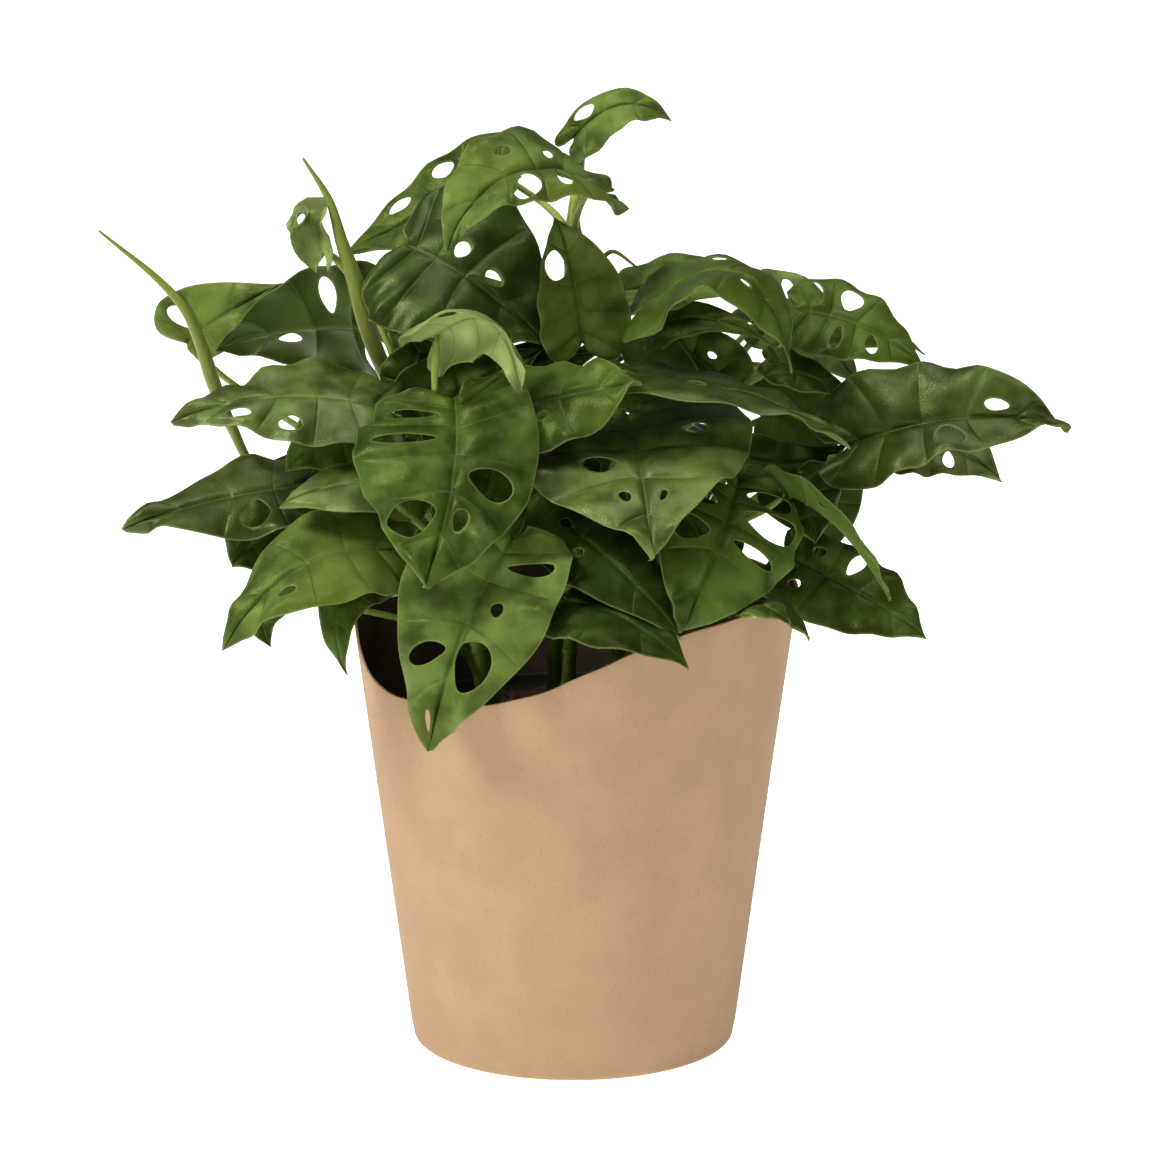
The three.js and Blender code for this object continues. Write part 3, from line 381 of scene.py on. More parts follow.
class StudioSettings(bpy.types.PropertyGroup):
    """Floor, lights and camera."""
    floor: colour_setting("Floor", "Colour of the floor", 0.93, 0.93, 0.93)
    floor_glow: bpy.props.FloatProperty(
        name="Floor glow", description="Light that the lit floor gives of its own",
        min=0, max=2, default=1.1)
    key: bpy.props.FloatProperty(
        name="Key light", description="Power of the large light at the upper left", unit="POWER",
        min=0, max=500, default=38)
    top: bpy.props.FloatProperty(
        name="Top light", description="Power of the light overhead", unit="POWER",
        min=0, max=500, default=14)
    sky: bpy.props.FloatProperty(
        name="Surrounding light", description="Strength of the even light all round",
        min=0, max=5, default=0.20)
    lens: bpy.props.FloatProperty(
        name="Lens", description="Focal length of the camera in millimetres of a 36 mm frame",
        min=20, max=300, default=134.1)


# ---------------------------------------------------------------- arrays and meshes
def unit(vectors):
    """Each vector divided by its own length."""
    return vectors / np.maximum(np.linalg.norm(vectors, axis=-1, keepdims=True), 1e-12)


def ease(x):
    """A soft step from 0 to 1: three x squared less two x cubed."""
    x = np.clip(x, 0, 1)
    return x * x * (3 - 2 * x)


def blend_between(a, b, share):
    """a at share 0, b at share 1, in proportion between."""
    return a + (b - a) * share


def put_mesh(name, points, faces, materials, node, slot, attributes=(), uv=None, face_slots=None):
    """A closed piece from points in millimetres and corner numbers of its triangles or quads."""
    mesh = bpy.data.meshes.new(name)
    mesh.from_pydata((points * MM).tolist(), [], faces.tolist())
    if face_slots is not None:
        mesh.polygons.foreach_set("material_index", np.asarray(face_slots, dtype=np.int32))
    mesh.polygons.foreach_set("use_smooth", np.ones(len(mesh.polygons), dtype=bool))
    corners = np.empty(len(mesh.loops), dtype=np.int32)
    mesh.loops.foreach_get("vertex_index", corners)
    if uv is not None:
        layer = mesh.uv_layers.new(name="surface")
        layer.data.foreach_set("uv", uv[corners].astype(np.float32).ravel())
    for key, values in dict(attributes).items():
        store = mesh.attributes.new(key, "FLOAT", "POINT")
        store.data.foreach_set("value", values.astype(np.float32))
    for finish in materials:
        mesh.materials.append(finish)
    mesh.validate()
    mesh.update()
    piece = bpy.data.objects.new(name, mesh)
    bpy.context.scene.collection.objects.link(piece)
    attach(piece, "root")
    if node:
        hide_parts(node)
    return piece


def band_faces(rings, around, closed_round=True):
    """Quads between neighbouring rings of a grid: rings by points around."""
    i = np.arange(rings - 1)[:, None]
    k = np.arange(around if closed_round else around - 1)[None, :]
    after = (k + 1) % around
    corners = [i * around + k, i * around + after, (i + 1) * around + after, (i + 1) * around + k]
    return np.stack(np.broadcast_arrays(*corners), axis=-1).reshape(-1, 4)


def capped(grid, ends):
    """A closed surface from a grid of rings by points around, with a middle point at each end."""
    rings, around = grid.shape[:2]
    quads = band_faces(rings, around)
    k = np.arange(around)
    after = (k + 1) % around
    base = (rings - 1) * around
    start = np.stack([np.full(around, rings * around), after, k], axis=-1)
    finish = np.stack([np.full(around, rings * around + 1), base + k, base + after], axis=-1)
    triangles = np.concatenate([quads[:, [0, 1, 2]], quads[:, [0, 2, 3]], start, finish])
    return np.concatenate([grid.reshape(-1, 3), ends]), triangles


def turned_surface(profile, around, shape=None):
    """A closed turned surface: the profile of (radius, height) pairs carried round the Z axis. shape may
    move the grid: it takes radius, height and angle arrays."""
    profile = np.asarray(profile, dtype=float)
    angle = np.linspace(0, 2 * np.pi, around, endpoint=False)[None, :]
    radius = np.repeat(profile[:, :1], around, axis=1)
    height = np.repeat(profile[:, 1:], around, axis=1)
    if shape:
        radius, height = shape(radius, height, angle)
    grid = np.stack([radius * np.cos(angle), radius * np.sin(angle), height], axis=-1)
    return capped(grid, [grid[0].mean(axis=0), grid[-1].mean(axis=0)])


def smooth_path(points, count):
    """Points at even distances on a curve through the given ones. Each stretch is a cubic whose end
    slopes weigh the neighbouring stretches by the square root of their lengths."""
    points = np.asarray(points, dtype=float)
    ext = np.concatenate([[2 * points[0] - points[1]], points, [2 * points[-1] - points[-2]]])
    gap = np.sqrt(np.linalg.norm(np.diff(ext, axis=0), axis=1))[:, None]
    a, b, c, d = ext[:-3], ext[1:-2], ext[2:-1], ext[3:]
    g0, g1, g2 = gap[:-2], gap[1:-1], gap[2:]
    out = ((b - a) / g0 - (c - a) / (g0 + g1) + (c - b) / g1) * g1
    into = ((c - b) / g1 - (d - b) / (g1 + g2) + (d - c) / g2) * g1
    s = np.linspace(0, 1, 40, endpoint=False)[None, :, None]
    b, c, out, into = (x[:, None, :] for x in (b, c, out, into))
    dense = b + out * s + (3 * (c - b) - 2 * out - into) * s**2 + (2 * (b - c) + out + into) * s**3
    dense = np.concatenate([dense.reshape(-1, 3), points[-1:]])
    return evenly(dense, count)


def evenly(dense, count):
    """count points at even distances along a close row of points."""
    run = np.concatenate([[0], np.cumsum(np.linalg.norm(np.diff(dense, axis=0), axis=1))])
    at = np.linspace(0, run[-1], count)
    return np.stack([np.interp(at, run, dense[:, k]) for k in range(3)], axis=-1)


def cubic(start, first, second, end, share):
    """Cubic Bezier curve: its four points weighed by the powers of share and of one less share."""
    s = share[:, None]
    r = 1 - s
    return start * r**3 + first * 3 * r**2 * s + second * 3 * r * s**2 + end * s**3


def bar(path, radius, sides, overlap=0.0):
    """A closed round bar: rings across the path, each point at the ring's radius from the path. The
    rings are turned from the direction in which the path spreads least. With overlap, the radius
    grows by that share once round and drops back, as the edge of a rolled leaf does."""
    slope = unit(np.gradient(path, axis=0))
    flat = np.linalg.svd(path - path.mean(axis=0), full_matrices=False)[2][-1]
    side = unit(np.cross(slope, flat))
    across = np.cross(side, slope)
    angle = np.linspace(0, 2 * np.pi, sides, endpoint=False)
    lap = 1 + overlap * (angle / (2 * np.pi))
    reach = (np.asarray(radius)[:, None] * lap)[..., None]
    twist = ROLL_TWIST if overlap else 0.0
    turn = (angle + np.linspace(0, twist, len(path))[:, None])[..., None]
    grid = path[:, None, :] + reach * (side[:, None, :] * np.cos(turn) + across[:, None, :] * np.sin(turn))
    points, triangles = capped(grid, [path[0], path[-1]])
    corner = points[triangles]
    volume = np.einsum("ij,ij->i", corner[:, 0], np.cross(corner[:, 1], corner[:, 2])).sum()
    return points, triangles if volume > 0 else triangles[:, ::-1]


def gathered(parts):
    """Several (points, triangles, attributes) parts as one, with their corner numbers moved on."""
    start = np.cumsum([0] + [len(points) for points, _, _ in parts])
    points = np.concatenate([points for points, _, _ in parts])
    triangles = np.concatenate([faces + s for (_, faces, _), s in zip(parts, start)])
    attributes = {key: np.concatenate([values[key] for _, _, values in parts]) for key in parts[0][2]}
    return points, triangles, attributes


# ---------------------------------------------------------------- finishes
class Finish:
    """A node material under construction, with short ways to add and join its nodes."""

    def __init__(self, name):
        self.material = bpy.data.materials.new(name)
        self.material.use_nodes = True
        self.tree = self.material.node_tree
        self.tree.nodes.clear()
        self.shader = self.add("ShaderNodeBsdfPrincipled")
        self.output = self.add("ShaderNodeOutputMaterial")
        self.join(self.shader.outputs[0], self.output.inputs["Surface"])

    def add(self, kind, **settings):
        node = self.tree.nodes.new(kind)
        for key, value in settings.items():
            setattr(node, key, value)
        return node

    def join(self, source, target):
        self.tree.links.new(source, target)

    def place(self, scale=(1, 1, 1), surface=False):
        """Object coordinates, or the piece's own surface map, through a Mapping node."""
        mapping = self.add("ShaderNodeMapping")
        mapping.inputs["Scale"].default_value = scale
        if surface:
            self.join(self.add("ShaderNodeUVMap", uv_map="surface").outputs[0], mapping.inputs[0])
        else:
            self.join(self.add("ShaderNodeTexCoord").outputs["Object"], mapping.inputs[0])
        return mapping.outputs[0]

    def noise(self, place, scale, detail=3.0, rough=0.55):
        node = self.add("ShaderNodeTexNoise")
        node.inputs["Scale"].default_value = scale
        node.inputs["Detail"].default_value = detail
        node.inputs["Roughness"].default_value = rough
        self.join(place, node.inputs["Vector"])
        return node.outputs["Fac"]

    def cells(self, place, scale):
        node = self.add("ShaderNodeTexVoronoi", feature="DISTANCE_TO_EDGE")
        node.inputs["Scale"].default_value = scale
        self.join(place, node.inputs["Vector"])
        return node.outputs["Distance"]

    def stored(self, name):
        return self.add("ShaderNodeAttribute", attribute_name=name).outputs["Fac"]

    def ramp(self, value, low, high, out_low=0.0, out_high=1.0):
        """value from low to high, eased to out_low and out_high."""
        node = self.add("ShaderNodeMapRange", interpolation_type="SMOOTHSTEP")
        for key, number in (("From Min", low), ("From Max", high), ("To Min", out_low), ("To Max", out_high)):
            node.inputs[key].default_value = number
        self.join(value, node.inputs["Value"])
        return node.outputs[0]

    def times(self, a, b):
        node = self.add("ShaderNodeMath", operation="MULTIPLY")
        self.join(a, node.inputs[0])
        if isinstance(b, (int, float)):
            node.inputs[1].default_value = b
        else:
            self.join(b, node.inputs[1])
        return node.outputs[0]

    def plus(self, a, b):
        node = self.add("ShaderNodeMath", operation="ADD")
        self.join(a, node.inputs[0])
        self.join(b, node.inputs[1])
        return node.outputs[0]

    def mixed(self, share, a, b):
        """Colour a where share is 0 and colour b where it is 1. Each may be a colour or a socket."""
        node = self.add("ShaderNodeMix", data_type="RGBA")
        self.join(share, node.inputs["Factor"])
        for socket, colour in ((node.inputs[6], a), (node.inputs[7], b)):
            if isinstance(colour, bpy.types.NodeSocket):
                self.join(colour, socket)
            else:
                socket.default_value = (*colour[:3], 1)
        return node.outputs[2]

    def bump(self, height, distance, strength=1.0, below=None):
        node = self.add("ShaderNodeBump")
        node.inputs["Distance"].default_value = distance
        node.inputs["Strength"].default_value = strength
        self.join(height, node.inputs["Height"])
        if below:
            self.join(below, node.inputs["Normal"])
        return node.outputs[0]

    def set(self, **sockets):
        """Joins or sets the shader's sockets, named with _ for a space."""
        for key, value in sockets.items():
            socket = self.shader.inputs[key.replace("_", " ")]
            if isinstance(value, bpy.types.NodeSocket):
                self.join(value, socket)
            else:
                socket.default_value = value
        return self.material


def tint(colour, factor):
    """The colour with each part times the factor, no more than 1."""
    return tuple(min(1.0, part * factor) for part in colour)


def kraft_paper(s):
    """Kraft paper: tan with cloudy mottling, short dark and light fibres and a faint tooth."""
    f = Finish("kraft_paper")
    place = f.place()
    cloud = f.noise(place, 55, 4)
    long_way = f.noise(f.place((1, 1, 0.35)), 1500, 2)
    fleck = f.ramp(long_way, 0.60, 0.72)
    light = f.ramp(f.noise(f.place((0.5, 1, 1)), 1900, 2), 0.62, 0.74)
    colour = f.mixed(f.ramp(cloud, 0.3, 0.7), tint(s.paper, 0.93), tint(s.paper, 1.05))
    colour = f.mixed(f.times(fleck, 0.30), colour, tuple(s.fibre))
    colour = f.mixed(f.times(light, 0.22), colour, tint(s.paper, 1.35))
    tooth = f.plus(f.times(f.noise(place, 900, 3), 0.6), f.times(long_way, 0.4))
    return f.set(Base_Color=colour, Roughness=f.ramp(cloud, 0.2, 0.8, 0.78, 0.88),
                 Specular_IOR_Level=0.25, Normal=f.bump(tooth, 0.00012, 0.5))


def sleeve_lining(s):
    """The inner face of the sleeve: the paper's pattern in dark brown, a little smoother."""
    f = Finish("sleeve_lining")
    place = f.place()
    colour = f.mixed(f.ramp(f.noise(place, 80, 4), 0.3, 0.7), tint(s.lining, 0.7), tint(s.lining, 1.3))
    return f.set(Base_Color=colour, Roughness=0.7, Normal=f.bump(f.noise(place, 1100, 3), 0.0001, 0.5))


def moulded_plastic(s):
    """Thin black nursery-pot plastic with a fine grain."""
    f = Finish("moulded_plastic")
    place = f.place()
    colour = f.mixed(f.ramp(f.noise(place, 60, 3), 0.3, 0.7), tint(s.plastic, 0.8), tint(s.plastic, 1.5))
    return f.set(Base_Color=colour, Roughness=f.ramp(f.noise(place, 240, 2), 0.3, 0.7, 0.42, 0.6),
                 Normal=f.bump(f.noise(place, 1600, 2), 0.00008, 0.4))


def potting_soil(name, colour, spread=0.5):
    """Damp crumb: a dark colour broken by lighter and darker grains, rough, with a coarse bump."""
    f = Finish(name)
    place = f.place()
    coarse = f.noise(place, 420, 5, 0.65)
    shade = f.mixed(f.ramp(coarse, 0.35, 0.68), tint(colour, 1 - spread), tint(colour, 1 + spread))
    return f.set(Base_Color=shade, Roughness=f.ramp(coarse, 0.3, 0.7, 0.95, 0.72),
                 Specular_IOR_Level=0.35, Normal=f.bump(coarse, 0.0008, 0.7))


def stem_skin(s):
    """Stem skin: light green, darker on the older wood and, as painted shade, deep in the plant, with fine
    lengthwise streaks and pale rings.
    """
    f = Finish("stem_skin")
    place = f.place()
    streak = f.noise(f.place((1, 1, 0.12)), 900, 3)
    old = f.ramp(f.stored("age"), 0, 1)
    colour = f.mixed(f.ramp(streak, 0.35, 0.65), tint(s.stem, 0.85), tint(s.stem, 1.12))
    colour = f.mixed(old, colour, tuple(s.stem_shade))
    colour = f.mixed(f.times(f.ramp(f.noise(place, 220, 3), 0.58, 0.7), 0.25), colour, tint(s.stem, 1.5))
    return f.set(Base_Color=colour, Roughness=f.ramp(streak, 0.3, 0.7, 0.36, 0.5),
                 Specular_IOR_Level=0.3, Specular_Tint=(0.9, 1, 0.35, 1),
                 Subsurface_Weight=0.12, Subsurface_Radius=(0.002, 0.003, 0.0003),
                 Normal=f.bump(streak, 0.00012, 0.4))


def rolled_skin(s):
    """Rolled leaf: pale green that deepens towards its tip, with slanting vein streaks."""
    f = Finish("rolled_leaf_skin")
    streak = f.noise(f.place((1, 1, 0.2)), 700, 3)
    colour = f.mixed(f.ramp(streak, 0.35, 0.65), tint(s.rolled, 0.85), tint(s.rolled, 1.1))
    colour = f.mixed(f.stored("age"), colour, tint(s.stem_shade, 1.25))
    return f.set(Base_Color=colour, Roughness=0.38, Specular_IOR_Level=0.3,
                 Specular_Tint=(0.9, 1, 0.35, 1), Subsurface_Weight=0.1,
                 Subsurface_Radius=(0.002, 0.003, 0.0003), Normal=f.bump(streak, 0.0001, 0.4))


DULLEST, CLEAREST = 0.94, 1.06  # each blade's green is its tone times a factor drawn between these two

# Roughness, gloss, share of light let through, strength of the painted sunlit yellowish patches and of the
# painted dull sheen, and the blue in the highlights, for each kind of blade.
BLADE_GLOSS = {
    "bright": (0.34, 0.22, 0.26, 0.45, 0.05, 0.20), "mid": (0.32, 0.20, 0.20, 0.45, 0.05, 0.24),
    "dark": (0.32, 0.13, 0.10, 0.30, 0.05, 0.20), "bluish": (0.34, 0.32, 0.10, 0.10, 0.12, 0.36),
    "slate": (0.35, 0.34, 0.10, 0.12, 0.12, 0.42), "grey": (0.36, 0.38, 0.14, 0.08, 0.20, 0.46),
    "pale": (0.40, 0.32, 0.26, 0.20, 0.15, 0.30),
}


def blade_skin(s, tone):
    """Blade skin: green mottled with painted light and shade, blotches that stand for soft reflections and
    light let through, with painted sunlit yellowish patches and a painted dull sheen; paler along midrib and
    side veins, a faint relief of the net of small veins, a thin yellowish line round every edge, and a paler,
    duller underside."""
    green = tuple(getattr(s, tone))
    rough, gloss, through, yellow, bloom, shine = BLADE_GLOSS[tone]
    f = Finish("blade_" + tone)
    place = f.place()
    surface = f.place(surface=True)
    cloud = f.noise(place, 42, 4)
    patch = f.noise(place, 105, 3, 0.5)
    light = f.stored("light")

    def own(red, green, blue):
        """A colour times the blade's own factor."""
        return f.mixed(light, *(tint((red, green, blue), factor) for factor in (DULLEST, CLEAREST)))

    # Painted light and shade: the green turns darker and lighter in soft blotches that stand for reflections
    # and light let through.
    shade = f.plus(f.times(cloud, 0.5), f.times(patch, 0.5))
    colour = f.mixed(f.ramp(shade, 0.38, 0.64), own(*tint(green, 0.45)), own(*tint(green, 1.55)))
    # Painted light: blotches of yellower green stand for lit and backlit patches of the blade.
    sunny = own(green[0] * 1.6, green[1] * 1.35, green[2] * 0.8)
    colour = f.mixed(f.times(f.ramp(f.noise(place, 23, 2), 0.44, 0.66), yellow), colour, sunny)
    # Painted sheen: blotches of dull greyish green stand for soft reflections.
    dull = own(green[1], green[1] * 1.3, green[1] * 0.72)
    colour = f.mixed(f.times(f.ramp(f.noise(place, 64, 3), 0.48, 0.68), bloom), colour, dull)
    fine = f.cells(surface, 1.3)
    rib = f.ramp(f.stored("rib_mm"), 0.15, 1.15, 1, 0)
    side_vein = f.ramp(f.stored("vein_mm"), 0.05, 0.65, 1, 0)
    edge = f.ramp(f.stored("edge_mm"), 0.10, 0.75, 1, 0)
    colour = f.mixed(f.times(side_vein, 0.07), colour, tuple(s.vein))
    colour = f.mixed(f.times(rib, 0.16), colour, tuple(s.vein))
    under = f.stored("under")
    below = own(green[0] * 1.5 + 0.02, green[1] * 1.4 + 0.03, green[2] * 1.5 + 0.008)
    below = f.mixed(f.plus(f.times(side_vein, 0.4), f.times(rib, 0.5)), below, tuple(s.vein))
    colour = f.mixed(under, colour, below)
    colour = f.mixed(f.times(edge, 0.42), colour, tuple(s.margin))
    height = f.plus(f.times(f.noise(place, 150, 3, 0.5), 0.75), f.times(f.ramp(fine, 0.0, 0.3), 0.25))
    crease = f.plus(f.times(rib, -0.9), f.times(side_vein, -0.7))
    pucker = f.bump(f.noise(place, 56, 1), 0.006, 0.6)
    normal = f.bump(crease, 0.0003, 0.4, below=f.bump(height, 0.0006, 0.22, below=pucker))
    rough_map = f.ramp(cloud, 0.25, 0.75, rough - 0.05, rough + 0.07)
    f.set(Base_Color=colour, Roughness=rough_map, Specular_IOR_Level=gloss,
          Specular_Tint=(0.80, 1, shine, 1), Normal=normal)
    glow = f.add("ShaderNodeBsdfTranslucent")
    f.join(colour, glow.inputs["Color"])
    f.join(normal, glow.inputs["Normal"])
    blend = f.add("ShaderNodeMixShader")
    blend.inputs["Fac"].default_value = through
    f.join(f.shader.outputs[0], blend.inputs[1])
    f.join(glow.outputs[0], blend.inputs[2])
    f.join(blend.outputs[0], f.output.inputs["Surface"])
    return f.material


def studio_floor(s):
    """Plain pale floor with a barely visible unevenness."""
    f = Finish("studio_floor")
    cloud = f.noise(f.place(), 2, 2)
    colour = f.mixed(cloud, tint(s.floor, 0.995), tuple(s.floor))
    return f.set(Base_Color=colour, Roughness=0.9, Specular_IOR_Level=0.1,
                 Emission_Color=(1, 1, 1, 1), Emission_Strength=s.floor_glow)


# ---------------------------------------------------------------- sleeve
def rim_height(angle):
    """Height of the sleeve's rim: the full height less a dip that fades with the cube of the angle."""
    off = (np.degrees(angle) - RIM_DIP_AT + 540) % 360 - 180
    reach = np.where(off < 0, RIM_DIP_LEFT, RIM_DIP_RIGHT)
    return RIM_HEIGHT - RIM_DIP * np.exp(-np.abs(off / reach) ** 3)


class OBJECT_OT_kraft_sleeve(bpy.types.Operator):
    """Builds the flared paper sleeve with its waved rim"""
    bl_idname = "object.monstera_kraft_sleeve"
    bl_label = "Kraft Sleeve"

    def execute(self, context):
        s = context.scene.monstera_sleeve
        wall = s.wall / MM
        # Profile shares: underside, rounded foot, outer wall, lip, inner wall, floor.
        turn = np.linspace(0, np.pi / 2, 7)
        foot = [(SLEEVE_FOOT_RADIUS - FOOT_ROUNDING + FOOT_ROUNDING * np.sin(a),
                 FOOT_ROUNDING - FOOT_ROUNDING * np.cos(a), FOOT) for a in turn]
        outer = [(0, z, OUTER) for z in np.linspace(0.05, 1, 42)]
        lip = [(-wall * (0.5 - 0.5 * np.cos(a)), 0.45 * np.sin(a), LIP)
               for a in np.linspace(0.4, np.pi - 0.4, 5)]
        inner = [(-wall, z, INNER) for z in np.linspace(1, 0.03, 34)]
        rows = [(12, 0.35, FLAT), (34, 0.35, FLAT), (46, 0.15, FLAT)] + foot + outer + lip + inner
        rows += [(46, SLEEVE_FLOOR, FLAT), (20, SLEEVE_FLOOR, FLAT)]
        kind = np.array([row[2] for row in rows])[:, None]

        def shape(a, b, angle):
            """Wall rows take their height as a share of the rim's; the radius follows the flare, and
            low waves round and up the paper push it in and out."""
            rim = rim_height(angle) + 0.18 * np.sin(9 * angle + 1) + 0.12 * np.sin(23 * angle)
            height = np.where((kind == OUTER) | (kind == INNER), b * rim, b)
            height = np.where(kind == LIP, rim + b, height)
            height = np.where(kind == INNER, np.maximum(height, SLEEVE_FLOOR), height)
            flare = SLEEVE_FOOT_RADIUS + SLEEVE_FLARE * height
            radius = np.where((kind >= OUTER) & (kind <= INNER), flare + a, a)
            share = np.clip(height / RIM_HEIGHT, 0, 1)
            wave = 0.6 * np.sin(2 * angle + 0.6) * share + 0.4 * np.sin(5 * angle + 3 * share) * share**2
            wave = wave + 0.25 * np.sin(3 * angle + 7 * share + 1) * share
            return radius + np.where(kind == FLAT, 0, wave * s.buckle / MM), height

        points, faces = turned_surface([row[:2] for row in rows], SLEEVE_FACETS, shape)
        ring = np.minimum(faces.min(axis=1) // SLEEVE_FACETS, len(rows) - 1)
        inside = (ring >= len(rows) - 2 - len(inner)).astype(int)
        inside[(faces.max(axis=1) == len(points) - 2)] = 0
        piece = put_mesh("kraft_sleeve", points, faces, [kraft_paper(s), sleeve_lining(s)], "sleeve",
                         "kraft_paper", face_slots=inside)
        if not piece:
            raise RuntimeError("the sleeve was not made")
        return {"FINISHED"}


# ---------------------------------------------------------------- nursery pot and soil
class OBJECT_OT_nursery_pot(bpy.types.Operator):
    """Builds the thin plastic nursery pot with its stepped rim"""
    bl_idname = "object.monstera_nursery_pot"
    bl_label = "Nursery Pot"

    def execute(self, context):
        s = context.scene.monstera_pot
        out = [(8, POT_FOOT + 0.4), (30, POT_FOOT + 0.4), (40, POT_FOOT + 0.1), (44, POT_FOOT),
               (POT_FOOT_RADIUS, POT_FOOT + 0.6)]
        up = [(blend_between(45.1, POT_SHOULDER_RADIUS, x), blend_between(2.6, POT_SHOULDER, x))
              for x in np.linspace(0, 1, 18)]
        rim = [(60, POT_SHOULDER + 0.3), (POT_RIM_RADIUS - 0.6, POT_SHOULDER + 0.6),
               (POT_RIM_RADIUS - 0.1, 98.2), (POT_RIM_RADIUS - 0.1, 104.4), (POT_RIM_RADIUS, 105.2),
               (POT_RIM_RADIUS - 0.1, 105.8), (POT_RIM_RADIUS - 0.5, POT_TOP),
               (POT_RIM_RADIUS - 0.9, 105.8), (POT_RIM_RADIUS - POT_WALL, 105)]
        back = [(POT_RIM_RADIUS - POT_WALL, 99.4), (POT_SHOULDER_RADIUS - POT_WALL, 98), (50, 50),
                (44, 3.4), (30, 3), (8, 3)]
        points, faces = turned_surface(out + up + rim + back, 120)
        put_mesh("pot_shell", points, faces, [moulded_plastic(s)], "nursery_pot", "pot_plastic")
        return {"FINISHED"}


def soil_height(x, y):
    """Height of the soil: a level crown that falls to the rim, plus slow waves and rough crumb made of
    crossing sines."""
    radius = np.hypot(x, y)
    outward = (radius - SOIL_CROWN_RADIUS) / (POT_SHOULDER_RADIUS - SOIL_CROWN_RADIUS)
    level = SOIL_TOP - 1.5 * np.clip(outward, 0, 1)
    wave = SOIL_ROUGHNESS * np.sin(0.31 * x + 1) * np.cos(0.27 * y)
    crumb = 0.45 * np.sin(0.9 * x + 0.5 * y) * np.cos(1.1 * y - 0.3 * x)
    crumb = crumb + 0.3 * np.sin(2.3 * x - 1.1 * y + 2) * np.sin(1.9 * y + 0.7 * x)
    return level + wave + crumb


def scattered(count, seed, size, corners, faces, sink):
    """Copies of one small shape strewn over the soil: each is scaled, turned by a random rotation and
    set so that part of it is sunk in the soil. The turn comes from a random quaternion."""
    rng = np.random.default_rng(seed)
    radius = SCATTER_RADIUS * np.sqrt(rng.random(count))
    angle = rng.random(count) * 2 * np.pi
    x, y = radius * np.cos(angle), radius * np.sin(angle)
    q = unit(rng.normal(size=(count, 4)))
    w, a, b, c = q.T
    turn = np.stack([
        np.stack([1 - 2 * (b * b + c * c), 2 * (a * b - w * c), 2 * (a * c + w * b)], -1),
        np.stack([2 * (a * b + w * c), 1 - 2 * (a * a + c * c), 2 * (b * c - w * a)], -1),
        np.stack([2 * (a * c - w * b), 2 * (b * c + w * a), 1 - 2 * (a * a + b * b)], -1)], 1)
    scale = size[0] + (size[1] - size[0]) * rng.random((count, 3))
    shape = corners[None] * scale[:, None, :] * rng.uniform(0.8, 1.2, (count, len(corners), 1))
    placed = np.einsum("nij,nkj->nki", turn, shape)
    at = np.stack([x, y, soil_height(x, y) + sink * scale.mean(axis=1)], -1)
    points = (placed + at[:, None, :]).reshape(-1, 3)
    triangles = (faces[None] + (np.arange(count) * len(corners))[:, None, None]).reshape(-1, 3)
    return points, triangles


CHIP_CORNERS = np.array([(-1, -0.6, -0.3), (0.9, -0.5, -0.3), (1, 0.5, -0.25), (-0.9, 0.6, -0.3),
                         (-0.8, -0.5, 0.3), (0.8, -0.6, 0.25), (0.9, 0.45, 0.3), (-1, 0.4, 0.35)])
CHIP_FACES = np.array([(0, 2, 1), (0, 3, 2), (4, 5, 6), (4, 6, 7), (0, 1, 5), (0, 5, 4),
                       (1, 2, 6), (1, 6, 5), (2, 3, 7), (2, 7, 6), (3, 0, 4), (3, 4, 7)])


class OBJECT_OT_potting_soil(bpy.types.Operator):
    """Builds the soil, with bark chips and pale grains strewn on it"""
    bl_idname = "object.monstera_potting_soil"
    bl_label = "Potting Soil"

    def execute(self, context):
        s = context.scene.monstera_pot
        radii = np.concatenate([[2], np.linspace(3.5, 57, 34)])
        profile = [(12, 3.3), (43, 3.3), (43.7, 3.6), (50, 50), (56, 97), (57.2, 99.5)]
        profile += [(r, -1) for r in radii[::-1]]
        crown = np.array([row[1] < 0 for row in profile])[:, None]

        def shape(radius, height, angle):
            """The crown's rings take the soil's height at their place."""
            top = soil_height(radius * np.cos(angle), radius * np.sin(angle))
            return radius, np.where(crown, top, height)

        points, faces = turned_surface(profile, 160, shape)
        put_mesh("soil_fill", points, faces, [potting_soil("damp_soil", s.soil)], "soil", "potting_soil")
        strewn = [("bark_chips", "bark_chip", s.bark, 0.6, (s.chips, 11, (0.7, 2.6)), 0.1),
                  ("pale_grains", "pale_grain", s.perlite, 0.25, (s.grains, 5, (0.4, 1.0)), 0.3)]
        for name, finish, colour, spread, amount, sink in strewn:
            points, faces = scattered(*amount, CHIP_CORNERS, CHIP_FACES, sink)
            put_mesh(name, points, faces, [potting_soil(finish, colour, spread)], None, "potting_soil")
        return {"FINISHED"}


# ---------------------------------------------------------------- blades
def midrib(leaf, x):
    """The midrib at shares x of its length: a quadratic Bezier curve through base, middle and tip, plus
    the hook by the cube of x. Gives the place, the heading, the direction of the upper side, which
    turns from face to turn, and the direction to the left."""
    x = np.atleast_1d(x)[:, None]
    base, middle, tip, hook = (np.array(leaf[key], dtype=float) for key in ("base", "middle", "tip", "hook"))
    pull = 2 * middle - 0.5 * base - 0.5 * tip
    along = base * (1 - x) ** 2 + pull * 2 * x * (1 - x) + tip * x**2 + hook * x**3
    heading = unit((pull - base) * (1 - x) + (tip - pull) * x + hook * 1.5 * x**2)
    face = blend_between(np.array(leaf["face"], dtype=float), np.array(leaf["turn"], dtype=float), x)
    up = unit(face - heading * (heading * face).sum(axis=1, keepdims=True))
    return along, heading, up, np.cross(heading, up)


